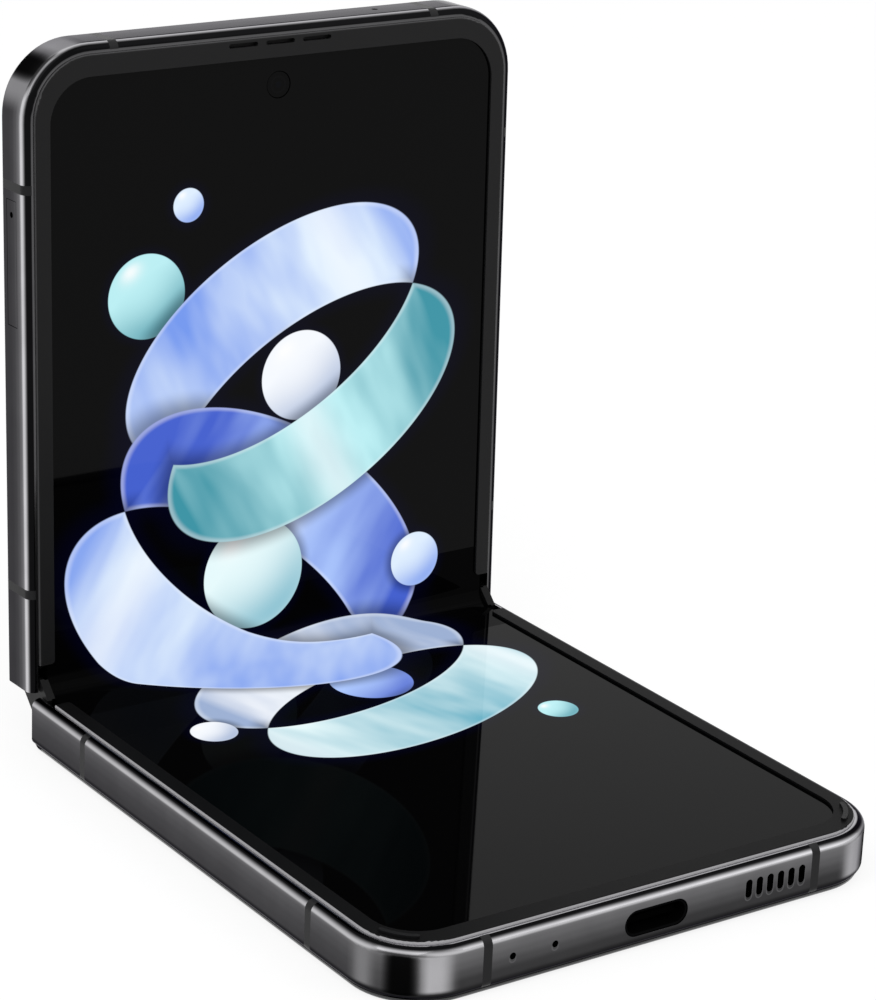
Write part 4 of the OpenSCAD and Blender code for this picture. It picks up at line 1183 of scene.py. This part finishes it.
@dataclass
class FoldingSheet:
    """A sheet that crosses the hinge, as two strips bent round it that meet in the middle.

    Lengths are in millimetres. In the side view, the planes of the two screens meet in the corner, and the
    spine is turned from the lower half by the turn.
    """

    title: str
    node: str
    slot: str
    strips: tuple[str, str]
    half_width: float
    blend_from: Pair
    blend_to: Pair
    corner: ClassVar[Pair] = (41.5485, 6.9)
    turn: ClassVar[float] = math.radians(44.25)
    SHARP: ClassVar[float] = 0.6

    def section(self) -> list[SheetRow]:
        """Return the lower strip's side view from its flat end to just past the middle."""
        raise NotImplementedError

    def build(self, material: bpy.types.Material) -> None:
        """Make both strips and let them stand for the CAD's bent sheet.

        Args:
            material: The sheet's material.
        """
        for name, body, mirrored in zip(self.strips, ("lower_half", "upper_half"), (False, True)):
            strip = self.strip(name, mirrored)
            strip.data.materials.append(material)
            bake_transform(strip)
            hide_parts(self.node)
        LOG.info("%s: %s in place of %s", self.title, " and ".join(self.strips), self.node)

    def mirror(self, point: Pair) -> Pair:
        """Carry a point of the side view over to the other side of the crease.

        Args:
            point: The point as (y, z) in millimetres.

        Returns:
            The mirrored point.
        """
        across = (math.cos(self.turn), math.sin(self.turn))
        dy, dz = point[0] - self.corner[0], point[1] - self.corner[1]
        along = dy * across[0] + dz * across[1]
        return (point[0] - 2 * along * across[0], point[1] - 2 * along * across[1])

    def strip(self, name: str, mirrored: bool) -> bpy.types.Object:
        """Make one strip with its place on the flat picture as UV.

        Args:
            name: Name of the piece.
            mirrored: Whether it is the upper strip.

        Returns:
            The strip.
        """
        rows = self.section()
        mesh = bpy.data.meshes.new(name)
        made = bmesh.new()
        uv = made.loops.layers.uv.new("UVMap")
        ring = [(y, z, v) for y, z, _, _, v in rows] + [(y, z, v) for _, _, y, z, v in reversed(rows)]
        ends = []
        for x in (-self.half_width, self.half_width):
            ends.append([])
            for y, z, v in ring:
                y, z = self.mirror((y, z)) if mirrored else (y, z)
                ends[-1].append((made.verts.new((x * MM, y * MM, z * MM)), flat_uv(x, -v if mirrored else v)))
        places = {vert: place for end in ends for vert, place in end}
        count = len(ring)
        for i in range(count):
            j = (i + 1) % count
            made.faces.new([ends[0][i][0], ends[0][j][0], ends[1][j][0], ends[1][i][0]])
        for i in range(len(rows) - 1):
            for end in ends:
                made.faces.new([end[i][0], end[i + 1][0], end[count - 2 - i][0], end[count - 1 - i][0]])
        bmesh.ops.recalc_face_normals(made, faces=made.faces)
        for face in made.faces:
            face.smooth = True
            for loop in face.loops:
                loop[uv].uv = places[loop.vert]
        for edge in made.edges:
            edge.smooth = edge.calc_face_angle(0.0) < self.SHARP
        made.to_mesh(mesh)
        made.free()
        strip = bpy.data.objects.new(name, mesh)
        bpy.context.scene.collection.objects.link(strip)
        return strip


@dataclass
class FoldingScreen(FoldingSheet):
    """The stretch of screen that bends over the hinge."""

    title: str = "folding screen"
    node: str = "folding_screen"
    slot: str = "screen"
    strips: tuple[str, str] = ("fold_strip_lower", "fold_strip_upper")
    half_width: float = 33.47
    blend_from: Pair = (39.918, 4.322)
    blend_to: Pair = (44.058, 8.351)
    thick: float = 0.45
    bend: float = 2.8
    reach: float = 8.02
    fold_edge: float = 41.3
    surface: float = 6.9
    flat_steps: int = 7
    steps: int = 24
    PAST: ClassVar[float] = 1.02

    def section(self) -> list[SheetRow]:
        """List the lower strip's side view: the flat stretch, then the bend.

        Returns:
            Its rows.
        """
        centre = self.corner[0] - self.bend / math.tan(math.pi / 2 - self.turn)
        first = self.fold_edge - self.reach
        flat = centre - first
        rows = []
        for i in range(self.flat_steps):
            along = flat * i / self.flat_steps
            y = first + along
            rows.append((y, self.surface, y, self.surface - self.thick, along - self.reach))
        z = self.surface + self.bend
        front, back = self.bend, self.bend + self.thick
        past = self.turn * self.PAST
        for i in range(self.steps + 1):
            a = past * i / self.steps
            rows.append((centre + front * math.sin(a), z - front * math.cos(a), centre + back * math.sin(a),
                         z - back * math.cos(a), (flat - self.reach) * (1 - a / self.turn)))
        return rows


@dataclass
class HingeFlex(FoldingSheet):
    """The film of tracks that joins the two boards under the screen."""

    title: str = "hinge flex"
    node: str = "hinge_flex"
    slot: str = "flex_film"
    strips: tuple[str, str] = ("hinge_flex_lower", "hinge_flex_upper")
    half_width: float = 6.0
    blend_from: Pair = (34.5, 3.8)
    blend_to: Pair = (42.1, 4.0)
    bends: tuple[tuple[float, float, float, float], ...] = (
        (-7.57, 4.141, -7.618, 4.001), (-7.032, 3.617, -7.081, 3.477), (-5.35, 0.072, -5.4, -0.068),
        (-4.201, -1.528, -4.25, -1.668), (-1.596, -2.428, -1.645, -2.568), (0.01, -2.428, 0.01, -2.568))
    steps: int = 6

    def section(self) -> list[SheetRow]:
        """List the lower strip's side view through its bends, given as seen along the spine.

        Returns:
            Its rows.
        """
        rows = []
        for start, end in zip(self.bends, self.bends[1:] + self.bends[-1:]):
            for i in range(self.steps if end is not start else 1):
                a, b, back_a, back_b = (p + (q - p) * i / self.steps for p, q in zip(start, end))
                rows.append((*self.unturned(a, b), *self.unturned(back_a, back_b), a))
        return rows

    def unturned(self, a: float, b: float) -> Pair:
        """Carry a point as seen along the spine over to the side view."""
        cos, sin = math.cos(self.turn), math.sin(self.turn)
        return (self.corner[0] + a * cos - b * sin, self.corner[1] + a * sin + b * cos)


def flat_uv(x: float, v: float) -> Pair:
    """Turn a place on the flat screen, in millimetres, into UV coordinates."""
    return ((x + FLAT_X) / (2 * FLAT_X), (v + FLAT_Y) / (2 * FLAT_Y))


# ---- Studio ----


@dataclass(frozen=True)
class Softbox:
    """A rectangular lamp that faces a point."""

    name: str
    place: Point
    aim: Point
    size: Pair
    watts: float

    def build(self) -> None:
        """Hang the lamp."""
        data = bpy.data.lights.new(self.name, "AREA")
        data.shape = "RECTANGLE"
        data.size, data.size_y = self.size
        data.energy = self.watts
        lamp = bpy.data.objects.new(self.name, data)
        lamp.location = self.place
        lamp.rotation_mode = "QUATERNION"
        lamp.rotation_quaternion = (Vector(self.aim) - Vector(self.place)).to_track_quat("-Z", "Y")
        lamp.visible_camera = False
        bpy.context.scene.collection.objects.link(lamp)


@dataclass(frozen=True)
class Viewpoint:
    """A camera; focal length is in pixels, as is the frame's long side; the axes are right, up and back."""

    focal: float = 3390.0122
    long_side: float = 1000.0
    sensor: float = 36.0
    shift: Pair = (0.031334, -0.035618)
    clip: Pair = (0.02, 30.0)
    place: Point = (-0.222604, -0.3088365, 0.1771898)
    axes: tuple[Point, Point, Point] = (
        (0.828561, -0.558587, 0.038297), (0.153621, 0.292577, 0.943822), (-0.538411, -0.776131, 0.328229),
    )

    def build(self) -> None:
        """Stand the camera up."""
        data = bpy.data.cameras.new("studio_camera")
        data.sensor_width = self.sensor
        data.lens = self.focal * self.sensor / self.long_side
        data.shift_x, data.shift_y = self.shift
        data.clip_start, data.clip_end = self.clip
        camera = bpy.data.objects.new("studio_camera", data)
        turn = Matrix([Vector(axis) for axis in self.axes]).transposed().to_4x4()
        camera.matrix_world = Matrix.Translation(self.place) @ turn
        bpy.context.scene.collection.objects.link(camera)
        bpy.context.scene.camera = camera


@dataclass
class Studio:
    """Floor, world, lamps and camera."""

    floor_z: float = -0.0001
    floor_reach: float = 6.0
    sky_light: float = 0.45
    lamps: tuple[Softbox, ...] = (
        Softbox("key_lamp", (-0.9, -0.5, 1.3), (0, 0, 0.04), (1.7, 1.7), 11.0),
        Softbox("fill_lamp", (1.2, -0.7, 1.0), (0, 0, 0.04), (1.6, 1.6), 5.0),
    )
    viewpoint: Viewpoint = Viewpoint()

    def build(self) -> None:
        """Set the whole studio up."""
        scene = bpy.context.scene
        scene.view_settings.view_transform = "Standard"
        self.world()
        self.floor()
        for lamp in self.lamps:
            lamp.build()
        self.viewpoint.build()

    def world(self) -> None:
        """Make the surroundings white where they are seen and softer as a light."""
        world = bpy.data.worlds.new("studio_world")
        bpy.context.scene.world = world
        world.use_nodes = True
        tree = NodeTree(world.node_tree)
        ground = world.node_tree.nodes["Background"]
        tree.feed(ground.inputs["Color"], WHITE)
        tree.feed(ground.inputs["Strength"], tree.spread(white_share(tree), 0, 1, self.sky_light, 1.0))

    def floor(self) -> None:
        """Lay a white floor that shows as pure white apart from the object's soft shadow."""
        mesh = bpy.data.meshes.new("studio_floor")
        made = bmesh.new()
        bmesh.ops.create_grid(made, x_segments=1, y_segments=1, size=self.floor_reach)
        made.to_mesh(mesh)
        made.free()
        obj = bpy.data.objects.new("studio_floor", mesh)
        obj.location.z = self.floor_z
        bpy.context.scene.collection.objects.link(obj)
        mesh.materials.append(material_of(FLOOR_PAPER))


def main() -> None:
    """Build every sub-assembly in order."""
    logging.basicConfig(level=logging.INFO, format="%(name)s: %(message)s")
    parts = (LowerHalf(), UpperHalf(), Hinge())
    for part in parts:
        part.build()
    dressed = {node for part in parts for node in part.finishes}
    LOG.info("left bare: %s", sorted(set(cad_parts) - dressed) or "nothing")
    FoldingScreen().build(material_of(FOLD_SCREEN))
    HingeFlex().build(material_of(FILM))
    Studio().build()


if __name__ == "__main__":
    main()
